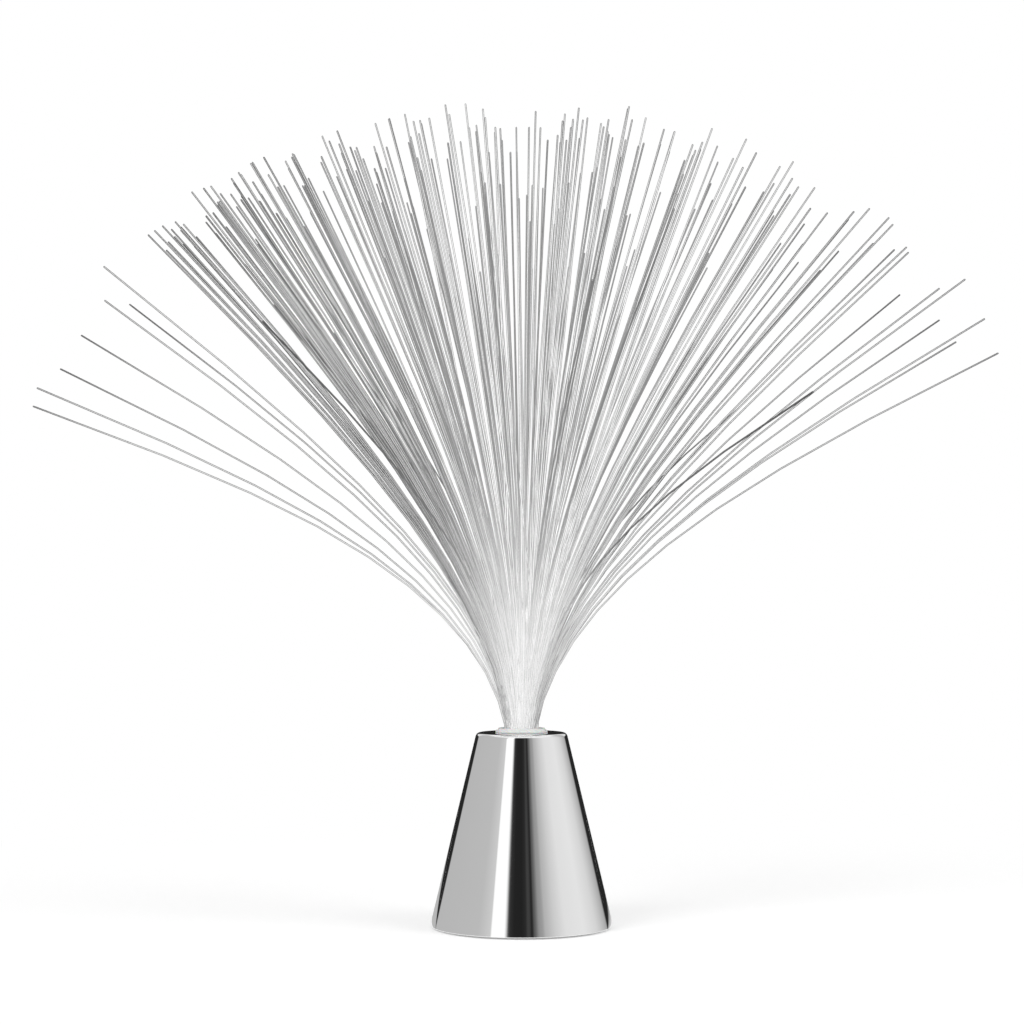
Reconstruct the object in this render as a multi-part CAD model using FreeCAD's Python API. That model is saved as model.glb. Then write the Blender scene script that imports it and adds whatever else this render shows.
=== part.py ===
"""Battery-powered fibre optic lamp: a chrome cone with a spray of clear fibres plugged into its top.

Sizes are millimetres and angles degrees. The origin is on the floor, midway between the feet.
+Z is up, -Y is the front of the lamp, and +X is to the right of someone facing it.
"""
import FreeCAD, Part
import math
import os
from FreeCAD import Vector

UP = Vector(0, 0, 1)
ALONG_X = Vector(1, 0, 0)
ALONG_Y = Vector(0, 1, 0)

# How far a cut runs past the face it opens, and how far joined shapes reach into each other
overcut = 1.0
bite = 0.2

# Cone shell
base_radius = 40.0
deck_radius = 19.8
rim_height = 0.8
deck_height = 85.0
shell_wall = 2.0
deck_thickness = 2.4
rim_bevel = 1.0
deck_bevel = 1.3

# Floor plate and its feet
plate_recess = 2.2
plate_thickness = 2.5
plate_gap = 0.2
foot_count = 4
foot_angle = 45.0
foot_radius = 3.75
foot_inset = 1.85

# Screws that hold the floor plate to bosses inside the cone
plate_screw_count = 3
plate_screw_angle = 90.0
plate_screw_inset = 2.8
plate_boss_radius = 2.6
plate_boss_height = 14.0
plate_screw_radius = 1.25
plate_screw_length = 10.0
plate_screw_head_radius = 2.4
plate_screw_head_height = 1.3
screw_hole_gap = 0.2
thread_gap = 0.05
screw_sides = 8

# Cells and the tub that holds them
cell_radius = 5.25
cell_length = 44.5
cell_nub_radius = 1.9
cell_nub_height = 0.8
cell_gap = 0.35
tub_wall = 2.0
tub_roof = 1.5
guide_rib_width = 1.2
guide_rib_height = 2.5
guide_rib_length = 24.0

# Battery door
door_thickness = 2.0
door_sink = 0.2
door_gap = 0.3
door_seat_gap = 0.1
door_side_ledge = 0.9
door_end_ledge = 0.7
door_pin_radius = 0.6
door_pin_length = 1.5
door_pin_fit = 0.05
latch_width = 9.0
latch_length = 7.0
latch_slit = 0.8
latch_nib_reach = 0.9
latch_nib_height = 1.0
thumb_groove_radius = 3.0
thumb_groove_depth = 0.8
thumb_groove_count = 3
thumb_groove_pitch = 1.6

# Contacts: flat plates, with a bowed leaf at each cell's flat end
contact_sheet = 0.4
contact_width = 7.0
leaf_reach = 5.2
leaf_width = 5.0
leaf_gap = 0.05
tail_width = 2.0
tail_height = 4.0
tail_gap = 0.1

# Slide switch, beside the tub
switch_gap = 3.75
switch_body_width = 6.6
switch_body_length = 12.0
switch_body_height = 5.0
switch_frame_sheet = 0.5
switch_frame_length = 21.0
switch_screw_spacing = 16.5
switch_screw_radius = 0.8
switch_screw_head_radius = 1.6
switch_screw_head_height = 0.8
switch_screw_bite = 1.7
switch_floor = 0.8
switch_travel = 3.0
knob_width = 3.0
knob_length = 4.0
knob_floor_gap = 1.4
knob_gap = 0.3
knob_flange_reach = 0.8
knob_flange_height = 1.2
knob_groove = 0.5
lug_width = 1.2
lug_sheet = 0.4
lug_height = 3.5
lug_pitch = 3.0

# Socket in the deck, and the light board below it
plug_fit = 0.1
socket_wall = 1.6
socket_depth = 39.0
board_radius = 15.2
board_thickness = 1.6
board_screw_count = 2
board_screw_angle = 0.0
board_screw_ring_radius = 13.0
board_boss_radius = 2.4
board_boss_height = 13.0
board_screw_radius = 0.9
board_screw_length = 8.0
board_screw_head_radius = 1.8
board_screw_head_height = 1.0

# Lamps on the board
led_count = 3
led_angle = 30.0
led_radius = 2.5
led_height = 7.5
led_bevel = 0.8
led_rim_radius = 2.85
led_rim_height = 1.0
led_standoff = 0.4
led_ring_radius = 3.7
led_sides = 20
led_lead = 0.5
led_lead_pitch = 2.54
led_lead_tail = 1.4
lead_hole_gap = 0.1

# Parts under the board
chip_width = 3.9
chip_length = 5.0
chip_height = 1.5
chip_legs = 4
chip_leg_pitch = 1.27
chip_leg_width = 0.45
chip_leg_sheet = 0.2
chip_leg_reach = 1.0
chip_gap = 0.1
resistor_radius = 1.15
resistor_length = 6.3
resistor_span = 10.0
resistor_lift = 0.3
resistor_places = [(-8.5, 3.0, 90.0), (8.5, 3.0, 90.0), (0.0, -7.4, 0.0)]
chip_y = 7.0

# Fibre bundle, its tube and its collar: their depths are below the deck
fibre_diameter = 0.75
fibre_count = 210
bundle_radius = 7.6
glue_gap = 0.1
tube_wall = 0.4
tube_depth = 28.0
collar_wall = 0.9
collar_depth = 26.5
collar_flange_radius = 11.45
collar_flange_height = 1.0
collar_step_radius = 10.3
collar_step_height = 0.9
collar_lip_height = 1.0
collar_bevel = 0.3

# Sides of the packed bundle, about one for every second fibre round its edge
bundle_sides = 24

# Spray of fibres: leans are the angles, from upright, at which fibre tips are seen from the collar
neck_height = 20.0
foot_depth = 1.0
fibre_length = 267.0
length_spread = 0.025
bend_length = 70.0
start_share = 0.15
bulk_share = 0.87
bulk_lean = 33.0
bulk_evenness = 1.6
bulk_shift = -1.5
right_thinning = 0.14
lean_spread = 2.6
stray_lean = 58.0
side_sector = 55.0
side_depth = 0.35
left_leans = (57.0, 54.5, 51.0, 48.5, 44.0, 42.5, 39.0, 37.5, 36.0)
right_leans = (51.5, 48.5, 47.5, 44.5, 42.5, 40.0, 38.5, 37.0, 36.0)
lean_to_tangent = 1.26
turn_per_facet = 8.5
fibre_clearance = 0.5
path_step = 1.0
sample_step = 8.0
aim_tries = 150
aim_widening = 3.0

# Wires
wire_radius = 0.65
wire_sides = 6
wire_rise = 9.5
wire_loop_rise = 2.0
wire_loop_x_share = 0.8
wire_loop_y_share = 0.62
switch_pad = (-6.0, -9.5)
minus_pad = (6.0, -9.5)


def place(shape, x=0.0, y=0.0, z=0.0):
    """A copy of the shape, moved."""
    moved = shape.copy()
    moved.translate(Vector(x, y, z))
    return moved


def block(x0, x1, y0, y1, z0, z1):
    """A box between two corners."""
    return Part.makeBox(x1 - x0, y1 - y0, z1 - z0, Vector(x0, y0, z0))


def rod(radius, z0, z1, x=0.0, y=0.0):
    """An upright cylinder from height z0 to height z1."""
    return Part.makeCylinder(radius, z1 - z0, Vector(x, y, z0))


def around(count, ring_radius, start=0.0):
    """The points of a ring, evenly spaced from the angle start."""
    turns = [math.radians(start + 360.0 * i / count) for i in range(count)]
    return [(ring_radius * math.cos(t), ring_radius * math.sin(t)) for t in turns]


def fused(shapes):
    """The shapes joined to one solid, without the seams between them."""
    return shapes[0].multiFuse(shapes[1:]).removeSplitter()


def cut_by(shape, tools):
    """The shape less every tool."""
    return shape.cut(Part.makeCompound(tools))


def circular_edges(shape, height, radius):
    """The edges that are circles of this radius about the Z axis at this height."""
    found = []
    for edge in shape.Edges:
        curve = edge.Curve
        if isinstance(curve, Part.Circle):
            level = abs(curve.Center.z - height) < 1e-6
            if level and abs(curve.Radius - radius) < 1e-6:
                found.append(edge)
    return found


def export(name, shapes):
    """Write one node: a single solid, or a group of like solids."""
    solids = []
    for shape in shapes:
        solids.extend(shape.Solids)
    node = solids[0] if len(solids) == 1 else Part.makeCompound(solids)
    node.exportStep("parts/" + name + ".step")


def wire_tube(points, radius):
    """A tube along straight runs joined by tangent arcs, each as large as its runs allow."""
    corners = [Vector(*p) for p in points]
    edges = []
    start = corners[0]
    for i in range(1, len(corners) - 1):
        before = corners[i] - corners[i - 1]
        after = corners[i + 1] - corners[i]
        turn = before.getAngle(after)
        back = 0.45 * min(before.Length, after.Length)
        print("wire bend radius", round(back / math.tan(turn / 2), 2))
        before.normalize()
        after.normalize()
        enter = corners[i] - before * back
        leave = corners[i] + after * back
        to_middle = after - before
        to_middle.normalize()
        reach = back / math.tan(turn / 2) * (1 / math.cos(turn / 2) - 1)
        middle = corners[i] + to_middle * reach
        edges.append(Part.LineSegment(start, enter).toShape())
        edges.append(Part.Arc(enter, middle, leave).toShape())
        start = leave
    edges.append(Part.LineSegment(start, corners[-1]).toShape())
    path = Part.Wire(edges)
    heading = corners[1] - corners[0]
    across = heading.cross(ALONG_X if abs(heading.x) < abs(heading.z) else UP)
    across.normalize()
    other = heading.cross(across)
    other.normalize()
    turns = [2 * math.pi * i / wire_sides for i in range(wire_sides + 1)]
    ring = [corners[0] + across * (radius * math.cos(t)) + other * (radius * math.sin(t)) for t in turns]
    return path.makePipeShell([Part.makePolygon(ring)], True, False)


def prism(sides, radius, z0, z1):
    """An upright prism on a regular polygon, for pieces too small to need round faces."""
    turns = [2 * math.pi * (i + 0.5) / sides for i in range(sides + 1)]
    ring = Part.makePolygon([Vector(radius * math.cos(t), radius * math.sin(t), z0) for t in turns])
    return Part.Face(ring).extrude(Vector(0, 0, z1 - z0))


def screw(shank_radius, length, head_radius, head_height, x, y, z, heading):
    """A pan-head screw: its head's seat is at z, and heading is +1 for a shank that points up."""
    low, high = (-head_height, 0.0) if heading > 0 else (0.0, head_height)
    shank = prism(screw_sides, shank_radius, min(0.0, heading * length), max(0.0, heading * length))
    head = prism(2 * screw_sides, head_radius, low, high)
    return place(fused([shank, head]), x, y, z)


# The cone is a straight taper: its outer and inner radius at a height
cone_slope = (base_radius - deck_radius) / (deck_height - rim_height)
wall_run = shell_wall * math.sqrt(1 + cone_slope ** 2)


def outer_radius(z):
    """The cone's outside radius at height z."""
    return base_radius - cone_slope * (z - rim_height)


def inner_radius(z):
    """The cone's inside radius at height z."""
    return outer_radius(z) - wall_run


def cone_between(z0, z1, grow):
    """A solid that fills the cone's inside from z0 to z1, grown outwards by grow."""
    return Part.makeCone(inner_radius(z0) + grow, inner_radius(z1) + grow, z1 - z0, Vector(0, 0, z0))


# Levels that more than one piece uses
plate_bottom = rim_height + plate_recess
plate_top = plate_bottom + plate_thickness
plate_radius = inner_radius(plate_top) - plate_gap
door_bottom = plate_bottom + door_sink
door_top = door_bottom + door_thickness
cell_height = door_top + cell_gap + cell_radius
tub_top = cell_height + cell_radius + cell_gap
deck_underside = deck_height - deck_thickness
socket_bottom = deck_height - socket_depth
tube_bottom = deck_height - tube_depth
collar_bottom = deck_height - collar_depth

# The tub is as wide as three cells and as long as one with a contact at each end
cell_pitch = 2 * cell_radius + cell_gap
tub_half_width = cell_pitch + cell_radius + cell_gap
tub_half_length = (cell_length + leaf_reach + leaf_gap) / 2 + contact_sheet
switch_x = -(tub_half_width + tub_wall + switch_gap + switch_body_width / 2)
door_opening_half_width = tub_half_width + door_side_ledge
door_opening_half_length = tub_half_length + door_end_ledge
door_half_width = door_opening_half_width - door_gap
door_middle = (door_bottom + door_top) / 2
hinge_radius = door_thickness / 2
hinge_y = door_opening_half_length - door_gap - hinge_radius

# The plug: bundle, glued in a tube, glued in a collar, which slides into the socket
tube_inner = bundle_radius + glue_gap
tube_outer = tube_inner + tube_wall
collar_bore = tube_outer + glue_gap
sleeve_radius = collar_bore + collar_wall
socket_radius = sleeve_radius + plug_fit
socket_outer = socket_radius + socket_wall
collar_top = deck_height + collar_flange_height + collar_step_height
tube_top = collar_top - collar_lip_height - glue_gap
neck_top = collar_top + neck_height

board_top = socket_bottom
board_bottom = board_top - board_thickness
plate_screw_places = around(plate_screw_count, plate_radius - plate_screw_inset, plate_screw_angle)
foot_places = around(foot_count, plate_radius - foot_radius - foot_inset, foot_angle)
board_screw_places = around(board_screw_count, board_screw_ring_radius, board_screw_angle)
led_places = around(led_count, led_ring_radius, led_angle)

# The first cell's plus end and the third cell's minus end have solder tails through the tub's roof
plate_y = tub_half_length - contact_sheet / 2
tail_places = [(-cell_pitch, plate_y), (cell_pitch, -plate_y)]
tail_top = tub_top + tub_roof + tail_height
lug_top = plate_top + switch_frame_sheet + switch_body_height + lug_height


# Cone shell: a thin taper, open below, with a flat deck, a socket and two sets of bosses
def make_cone_shell():
    height = deck_height - rim_height
    body = Part.makeCone(base_radius, deck_radius, height, Vector(0, 0, rim_height))
    body = body.makeChamfer(rim_bevel, circular_edges(body, rim_height, base_radius))
    body = body.makeChamfer(deck_bevel, circular_edges(body, deck_height, deck_radius))
    shell = body.cut(cone_between(rim_height, deck_underside, 0.0))
    tube = rod(socket_outer, socket_bottom, deck_height - deck_thickness / 2)
    extras = [tube]
    for x, y in board_screw_places:
        extras.append(rod(board_boss_radius, socket_bottom, socket_bottom + board_boss_height, x, y))
    within_wall = cone_between(plate_top, plate_top + plate_boss_height, wall_run / 2)
    for x, y in plate_screw_places:
        boss = rod(plate_boss_radius, plate_top, plate_top + plate_boss_height, x, y)
        extras.append(boss.common(within_wall))
    shell = fused([shell] + extras)
    holes = [rod(socket_radius, socket_bottom - overcut, deck_height + overcut)]
    for x, y in board_screw_places:
        holes.append(rod(board_screw_radius + thread_gap, socket_bottom - overcut,
                         socket_bottom + board_screw_length, x, y))
    hole_top = plate_bottom + plate_screw_length + screw_hole_gap
    for x, y in plate_screw_places:
        holes.append(rod(plate_screw_radius + thread_gap, plate_top - overcut, hole_top, x, y))
    return cut_by(shell, holes)


# Floor plate: a disc with the battery tub moulded on top, and openings for door, switch, feet and screws
def make_floor_plate():
    disc = rod(plate_radius, plate_bottom, plate_top)
    outer_x = tub_half_width + tub_wall
    outer_y = tub_half_length + tub_wall
    tub = block(-outer_x, outer_x, -outer_y, outer_y, plate_bottom, tub_top + tub_roof)
    upright = [e for e in tub.Edges if abs(e.tangentAt(e.FirstParameter).z) > 0.9]
    tub = tub.makeFillet(0.9 * tub_wall, upright)
    plate = fused([disc, tub])
    space = block(-tub_half_width, tub_half_width, -tub_half_length, tub_half_length,
                  plate_bottom, tub_top)
    opening = block(-door_opening_half_width, door_opening_half_width,
                    -door_opening_half_length, door_opening_half_length,
                    plate_bottom - overcut, door_top + door_seat_gap)
    cuts = [space, opening]
    pin_reach = door_opening_half_width + door_pin_length + door_gap
    cuts.append(Part.makeCylinder(door_pin_radius + door_pin_fit, 2 * pin_reach,
                                  Vector(-pin_reach, hinge_y, door_middle), ALONG_X))
    nib_half = latch_width / 2 - latch_slit
    nib_end = door_opening_half_length - door_gap + latch_nib_reach
    cuts.append(block(-nib_half - door_gap, nib_half + door_gap, -nib_end - door_gap,
                      -door_opening_half_length + overcut, plate_bottom - overcut,
                      door_top + door_seat_gap))
    window_x = knob_width / 2 + knob_gap
    window_y = knob_length / 2 + switch_travel / 2 + knob_gap
    cuts.append(block(switch_x - window_x, switch_x + window_x, -window_y, window_y,
                      plate_bottom - overcut, plate_top + overcut))
    for side in (-1, 1):
        y = side * switch_screw_spacing / 2
        cuts.append(rod(switch_screw_radius + thread_gap, plate_top - switch_screw_bite - screw_hole_gap,
                        plate_top + overcut, switch_x, y))
    for x, y in plate_screw_places:
        cuts.append(rod(plate_screw_radius + screw_hole_gap, plate_bottom - overcut,
                        plate_top + overcut, x, y))
    for x, y in tail_places:
        half_x = tail_width / 2 + tail_gap
        half_y = contact_sheet / 2 + tail_gap
        cuts.append(block(x - half_x, x + half_x, y - half_y, y + half_y,
                          tub_top - overcut, tub_top + tub_roof + overcut))
    plate = cut_by(plate, cuts)
    ribs = []
    for x in (-cell_pitch / 2, cell_pitch / 2):
        ribs.append(block(x - guide_rib_width / 2, x + guide_rib_width / 2, -guide_rib_length / 2,
                          guide_rib_length / 2, tub_top - guide_rib_height, tub_top + tub_roof / 2))
    return fused([plate] + ribs)


# Battery door: a flap with a rounded hinge edge and pins, and a sprung latch tongue at its other end
def make_battery_door():
    front = -(door_opening_half_length - door_gap)
    flap = block(-door_half_width, door_half_width, front, hinge_y, door_bottom, door_top)
    edge = Part.makeCylinder(hinge_radius, 2 * door_half_width,
                             Vector(-door_half_width, hinge_y, door_middle), ALONG_X)
    pin_reach = door_opening_half_width + door_pin_length
    pins = Part.makeCylinder(door_pin_radius, 2 * pin_reach,
                             Vector(-pin_reach, hinge_y, door_middle), ALONG_X)
    nib_half = latch_width / 2 - latch_slit
    nib = block(-nib_half, nib_half, front - latch_nib_reach, front + bite,
                door_top - latch_nib_height, door_top)
    door = fused([flap, edge, pins, nib])
    cuts = []
    for side in (-1, 1):
        inner = side * latch_width / 2
        outer = side * (latch_width / 2 + latch_slit)
        cuts.append(block(min(inner, outer), max(inner, outer), front - overcut, front + latch_length,
                          door_bottom - overcut, door_top + overcut))
    for i in range(thumb_groove_count):
        y = front + latch_length / 2 + (i - (thumb_groove_count - 1) / 2) * thumb_groove_pitch
        groove = Part.makeCylinder(thumb_groove_radius, latch_width,
                                   Vector(-latch_width / 2, y, door_bottom + thumb_groove_depth
                                          - thumb_groove_radius), ALONG_X)
        near = block(-latch_width / 2, latch_width / 2, y - thumb_groove_pitch * 0.3,
                     y + thumb_groove_pitch * 0.3, door_bottom - overcut, door_top)
        cuts.append(groove.common(near))
    return cut_by(door, cuts)


# Screws: the floor plate's and the board's point up, the switch's point down
def make_plate_screws():
    seat = plate_bottom
    return [screw(plate_screw_radius, plate_screw_length, plate_screw_head_radius,
                  plate_screw_head_height, x, y, seat, 1) for x, y in plate_screw_places]


def make_board_screws():
    return [screw(board_screw_radius, board_screw_length, board_screw_head_radius,
                  board_screw_head_height, x, y, board_bottom, 1) for x, y in board_screw_places]


def make_switch_screws():
    seat = plate_top + switch_frame_sheet
    length = switch_frame_sheet + switch_screw_bite
    return [screw(switch_screw_radius, length, switch_screw_head_radius, switch_screw_head_height,
                  switch_x, side * switch_screw_spacing / 2, seat, -1) for side in (-1, 1)]


# Rubber feet: round pads glued under the floor plate
def make_rubber_feet():
    return [rod(foot_radius, 0.0, plate_bottom, x, y) for x, y in foot_places]


# Cells: three side by side, each turned about from the last
def make_cell(index):
    facing = 1 if index != 1 else -1
    x = (index - 1) * cell_pitch
    nub_end = tub_half_length - contact_sheet
    shoulder = nub_end - cell_nub_height
    foot = nub_end - cell_length
    can = Part.makeCylinder(cell_radius, shoulder - foot, Vector(x, facing * foot, cell_height),
                            ALONG_Y * facing)
    nub = Part.makeCylinder(cell_nub_radius, cell_nub_height + bite,
                            Vector(x, facing * (shoulder - bite), cell_height), ALONG_Y * facing)
    return fused([can, nub])


def contact_plate(x0, x1, end):
    """A flat contact on an end wall of the tub, from x0 to x1. end is +1 at the rear and -1 at the front."""
    wall = end * tub_half_length
    face = end * (tub_half_length - contact_sheet)
    return block(x0, x1, min(wall, face), max(wall, face),
                 cell_height - leaf_reach, cell_height + leaf_reach)


def contact_leaf(x, end):
    """A bowed leaf that stands off the end wall and presses on a cell's flat end."""
    centre = Vector(x - leaf_width / 2, end * (tub_half_length - contact_sheet), cell_height)
    bow = Part.makeCylinder(leaf_reach, leaf_width, centre, ALONG_X)
    bow = bow.cut(Part.makeCylinder(leaf_reach - contact_sheet, leaf_width, centre, ALONG_X))
    inside = tub_half_length - contact_sheet / 2
    keep = block(x - leaf_width, x + leaf_width, -inside, inside,
                 cell_height - 2 * leaf_reach, cell_height + 2 * leaf_reach)
    return bow.common(keep)


def contact_tail(x, end):
    """A solder tail that goes up from a contact plate through the tub's roof."""
    wall = end * tub_half_length
    face = end * (tub_half_length - contact_sheet)
    return block(x - tail_width / 2, x + tail_width / 2, min(wall, face), max(wall, face),
                 cell_height, tail_top)


# Contacts: a plus plate, a minus leaf, and two bridges that put the cells in series
def make_contacts():
    half = contact_width / 2
    left, middle, right = -cell_pitch, 0.0, cell_pitch
    plus = fused([contact_plate(left - half, left + half, 1), contact_tail(left, 1)])
    minus = fused([contact_plate(right - half, right + half, -1), contact_leaf(right, -1),
                   contact_tail(right, -1)])
    front = fused([contact_plate(left - half, middle + half, -1), contact_leaf(left, -1)])
    rear = fused([contact_plate(middle - half, right + half, 1), contact_leaf(middle, 1)])
    return {"plus_contact": plus, "minus_contact": minus,
            "front_bridge": front, "rear_bridge": rear}


# Slide switch: a steel frame on the plate, a body with a slot, and a knob that comes out below
frame_top = plate_top + switch_frame_sheet
slot_x = knob_width / 2 + knob_gap
slot_y = knob_length / 2 + switch_travel / 2 + knob_gap
flange_bottom = frame_top + switch_floor + knob_gap
flange_top = flange_bottom + knob_flange_height


def make_switch_frame():
    frame = block(switch_x - switch_body_width / 2, switch_x + switch_body_width / 2,
                  -switch_frame_length / 2, switch_frame_length / 2, plate_top, frame_top)
    cuts = [block(switch_x - slot_x, switch_x + slot_x, -slot_y, slot_y, plate_top - overcut,
                  frame_top + overcut)]
    for side in (-1, 1):
        cuts.append(rod(switch_screw_radius + screw_hole_gap, plate_top - overcut, frame_top + overcut,
                        switch_x, side * switch_screw_spacing / 2))
    return cut_by(frame, cuts)


def make_switch_body():
    body_top = frame_top + switch_body_height
    body = block(switch_x - switch_body_width / 2, switch_x + switch_body_width / 2,
                 -switch_body_length / 2, switch_body_length / 2, frame_top, body_top)
    room_x = slot_x + knob_flange_reach
    room_y = slot_y + knob_flange_reach
    cuts = [block(switch_x - slot_x, switch_x + slot_x, -slot_y, slot_y,
                  frame_top - overcut, frame_top + switch_floor + bite),
            block(switch_x - room_x, switch_x + room_x, -room_y, room_y,
                  frame_top + switch_floor, flange_top + knob_gap)]
    lugs = []
    for i in (-1, 0, 1):
        lugs.append(block(switch_x - lug_sheet / 2, switch_x + lug_sheet / 2, i * lug_pitch - lug_width / 2,
                          i * lug_pitch + lug_width / 2, body_top - bite, lug_top))
    return fused([cut_by(body, cuts)] + lugs)


def make_switch_knob():
    y = -switch_travel / 2
    stem = block(switch_x - knob_width / 2, switch_x + knob_width / 2,
                 y - knob_length / 2, y + knob_length / 2, knob_floor_gap, flange_top)
    reach_x = knob_width / 2 + knob_flange_reach
    reach_y = knob_length / 2 + knob_flange_reach
    flange = block(switch_x - reach_x, switch_x + reach_x, y - reach_y, y + reach_y,
                   flange_bottom, flange_top)
    grooves = []
    for i in (-1, 0, 1):
        middle = y + i * 2 * knob_groove
        grooves.append(block(switch_x - knob_width, switch_x + knob_width, middle - knob_groove / 2,
                             middle + knob_groove / 2, knob_floor_gap - overcut,
                             knob_floor_gap + knob_groove))
    return cut_by(fused([stem, flange]), grooves)


# Light board: a disc under the socket, drilled for its screws and the lamps' leads
def lead_places(x, y):
    """Where a lamp at x, y has its two leads."""
    return [(x - led_lead_pitch / 2, y), (x + led_lead_pitch / 2, y)]


def make_light_board():
    holes = []
    for x, y in board_screw_places:
        holes.append(rod(board_screw_radius + screw_hole_gap, board_bottom - overcut,
                         board_top + overcut, x, y))
    for place_x, place_y in led_places:
        for x, y in lead_places(place_x, place_y):
            half = led_lead / 2 + lead_hole_gap
            holes.append(block(x - half, x + half, y - half, y + half,
                               board_bottom - overcut, board_top + overcut))
    return cut_by(rod(board_radius, board_bottom, board_top), holes)


def make_led(x, y):
    foot = board_top + led_standoff
    rim = place(prism(led_sides, led_rim_radius, foot, foot + led_rim_height), x, y)
    top = foot + led_height
    lens = place(prism(led_sides, led_radius, foot, top), x, y)
    crown = [edge for edge in lens.Edges if abs(edge.BoundBox.ZMin - top) < 1e-6]
    lens = lens.makeChamfer(led_bevel, crown)
    leads = []
    for lead_x, lead_y in lead_places(x, y):
        leads.append(block(lead_x - led_lead / 2, lead_x + led_lead / 2, lead_y - led_lead / 2,
                           lead_y + led_lead / 2, board_bottom - led_lead_tail, foot + bite))
    return fused([rim, lens] + leads)


# Control chip: it fades the three lamps in turn, and is soldered under the board
def make_control_chip():
    top = board_bottom - chip_gap
    body = block(-chip_width / 2, chip_width / 2, chip_y - chip_length / 2, chip_y + chip_length / 2,
                 top - chip_height, top)
    parts = [body]
    for side in (-1, 1):
        for i in range(chip_legs):
            y = chip_y + (i - (chip_legs - 1) / 2) * chip_leg_pitch
            near = side * (chip_width / 2 - bite)
            far = side * (chip_width / 2 + chip_leg_reach)
            knee = side * (chip_width / 2 + chip_leg_reach / 2)
            level = top - chip_height / 2
            leg_low, leg_high = y - chip_leg_width / 2, y + chip_leg_width / 2
            parts.append(block(min(near, knee), max(near, knee), leg_low, leg_high,
                               level, level + chip_leg_sheet))
            parts.append(block(min(knee, far), max(knee, far), leg_low, leg_high, level, board_bottom))
    return fused(parts)


# Resistors: one for each lamp, lying under the board with their leads bent up into it
def make_resistors():
    level = board_bottom - resistor_lift - resistor_radius
    lead = led_lead / 2
    shapes = []
    for x, y, along in resistor_places:
        body = prism(12, resistor_radius, -resistor_length / 2, resistor_length / 2)
        body.rotate(Vector(0, 0, 0), ALONG_Y, 90)
        body = place(body, 0, 0, level)
        half = resistor_span / 2
        wires = [block(-half - lead, half + lead, -lead, lead, level - lead, level + lead),
                 block(-half - lead, -half + lead, -lead, lead, level - lead, board_bottom),
                 block(half - lead, half + lead, -lead, lead, level - lead, board_bottom)]
        whole = fused([body] + wires)
        whole.rotate(Vector(0, 0, 0), UP, along)
        shapes.append(place(whole, x, y))
    return shapes


# Collar: a white flange on the deck, and a sleeve that plugs into the socket
def make_collar():
    flange_top_z = deck_height + collar_flange_height
    sleeve = rod(sleeve_radius, collar_bottom, deck_height + bite)
    flange = rod(collar_flange_radius, deck_height, flange_top_z)
    step = rod(collar_step_radius, flange_top_z - bite, collar_top)
    step = step.makeChamfer(collar_bevel, circular_edges(step, collar_top, collar_step_radius))
    collar = fused([sleeve, flange, step])
    bore = rod(collar_bore, collar_bottom - overcut, tube_top + glue_gap)
    mouth = rod(tube_inner, tube_top, collar_top + overcut)
    return cut_by(collar, [bore, mouth])


# Bundle tube: a thin aluminium tube round the fibres' lower ends
def make_bundle_tube():
    bore = rod(tube_inner, tube_bottom - overcut, tube_top + overcut)
    return rod(tube_outer, tube_bottom, tube_top).cut(bore)


# Fibres. Each leaves the packed bundle, leans over in one upright plane and runs out nearly straight.
# Its tangent's lean grows with the distance s along it as full * (1 - (1 - start_share) * exp(-s / bend)).
golden_turn = math.pi * (3 - math.sqrt(5))
fibre_side = fibre_diameter * math.sqrt(math.pi) / 2
root_ring = bundle_radius - fibre_diameter / 2
path_count = math.ceil(fibre_length * (1 + length_spread) / path_step) + 2


def scatter(index, kind):
    """An even random number from -1 to 1 that depends only on a fibre's number and the use made of it."""
    wave = math.sin(index * 12.9898 + kind * 78.233) * 43758.5453
    return 2 * (wave - math.floor(wave)) - 1


def side_leans():
    """The leans of the strays that stand out at the left and right, the furthest out for the sidemost."""
    chosen = {}
    for side, leans in ((-1, left_leans), (1, right_leans)):
        strays = range(math.ceil(bulk_share * fibre_count), fibre_count)
        sideways = [(side * math.cos(i * golden_turn), i) for i in strays]
        sideways = sorted((c, i) for c, i in sideways if c > math.cos(math.radians(side_sector)))
        for (_, i), lean in zip(reversed(sideways), leans):
            chosen[i] = side * lean
    return chosen


stray_sides = side_leans()


def aim(index, attempt, spread):
    """A fibre's heading and its far end's lean, in radians. Most lie in a cone, a few stray out of it."""
    share = (index + 0.5) / fibre_count
    azimuth = index * golden_turn
    within = min(1.0, share / bulk_share)
    beyond = max(0.0, (share - bulk_share) / (1 - bulk_share))
    edge = math.tan(math.radians(bulk_lean))
    lean = math.degrees(math.atan(edge * math.sqrt(1 - (1 - within) ** bulk_evenness)))
    lean += (stray_lean - bulk_lean) * beyond
    lean *= 1 + right_thinning * max(0.0, math.cos(azimuth)) * within * (1 - beyond)
    across = lean * math.cos(azimuth) + bulk_shift * (1 - beyond)
    deep = lean * math.sin(azimuth)
    if index in stray_sides:
        across = stray_sides[index]
        deep *= side_depth
        spread *= 0.4
    across += lean_spread * spread * scatter(index, 3 * attempt)
    deep += lean_spread * spread * scatter(index, 3 * attempt + 1)
    return math.atan2(deep, across), math.radians(lean_to_tangent * math.hypot(across, deep))


def tangent_lean(full, s):
    """The lean of a fibre's tangent at a distance s from the collar."""
    return full * (1 - (1 - start_share) * math.exp(-s / bend_length))


def between(values, s):
    """The value at a distance s along a fibre, from its values at every step."""
    i = min(int(s / path_step), len(values) - 2)
    part = s / path_step - i
    return values[i] * (1 - part) + values[i + 1] * part


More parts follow.
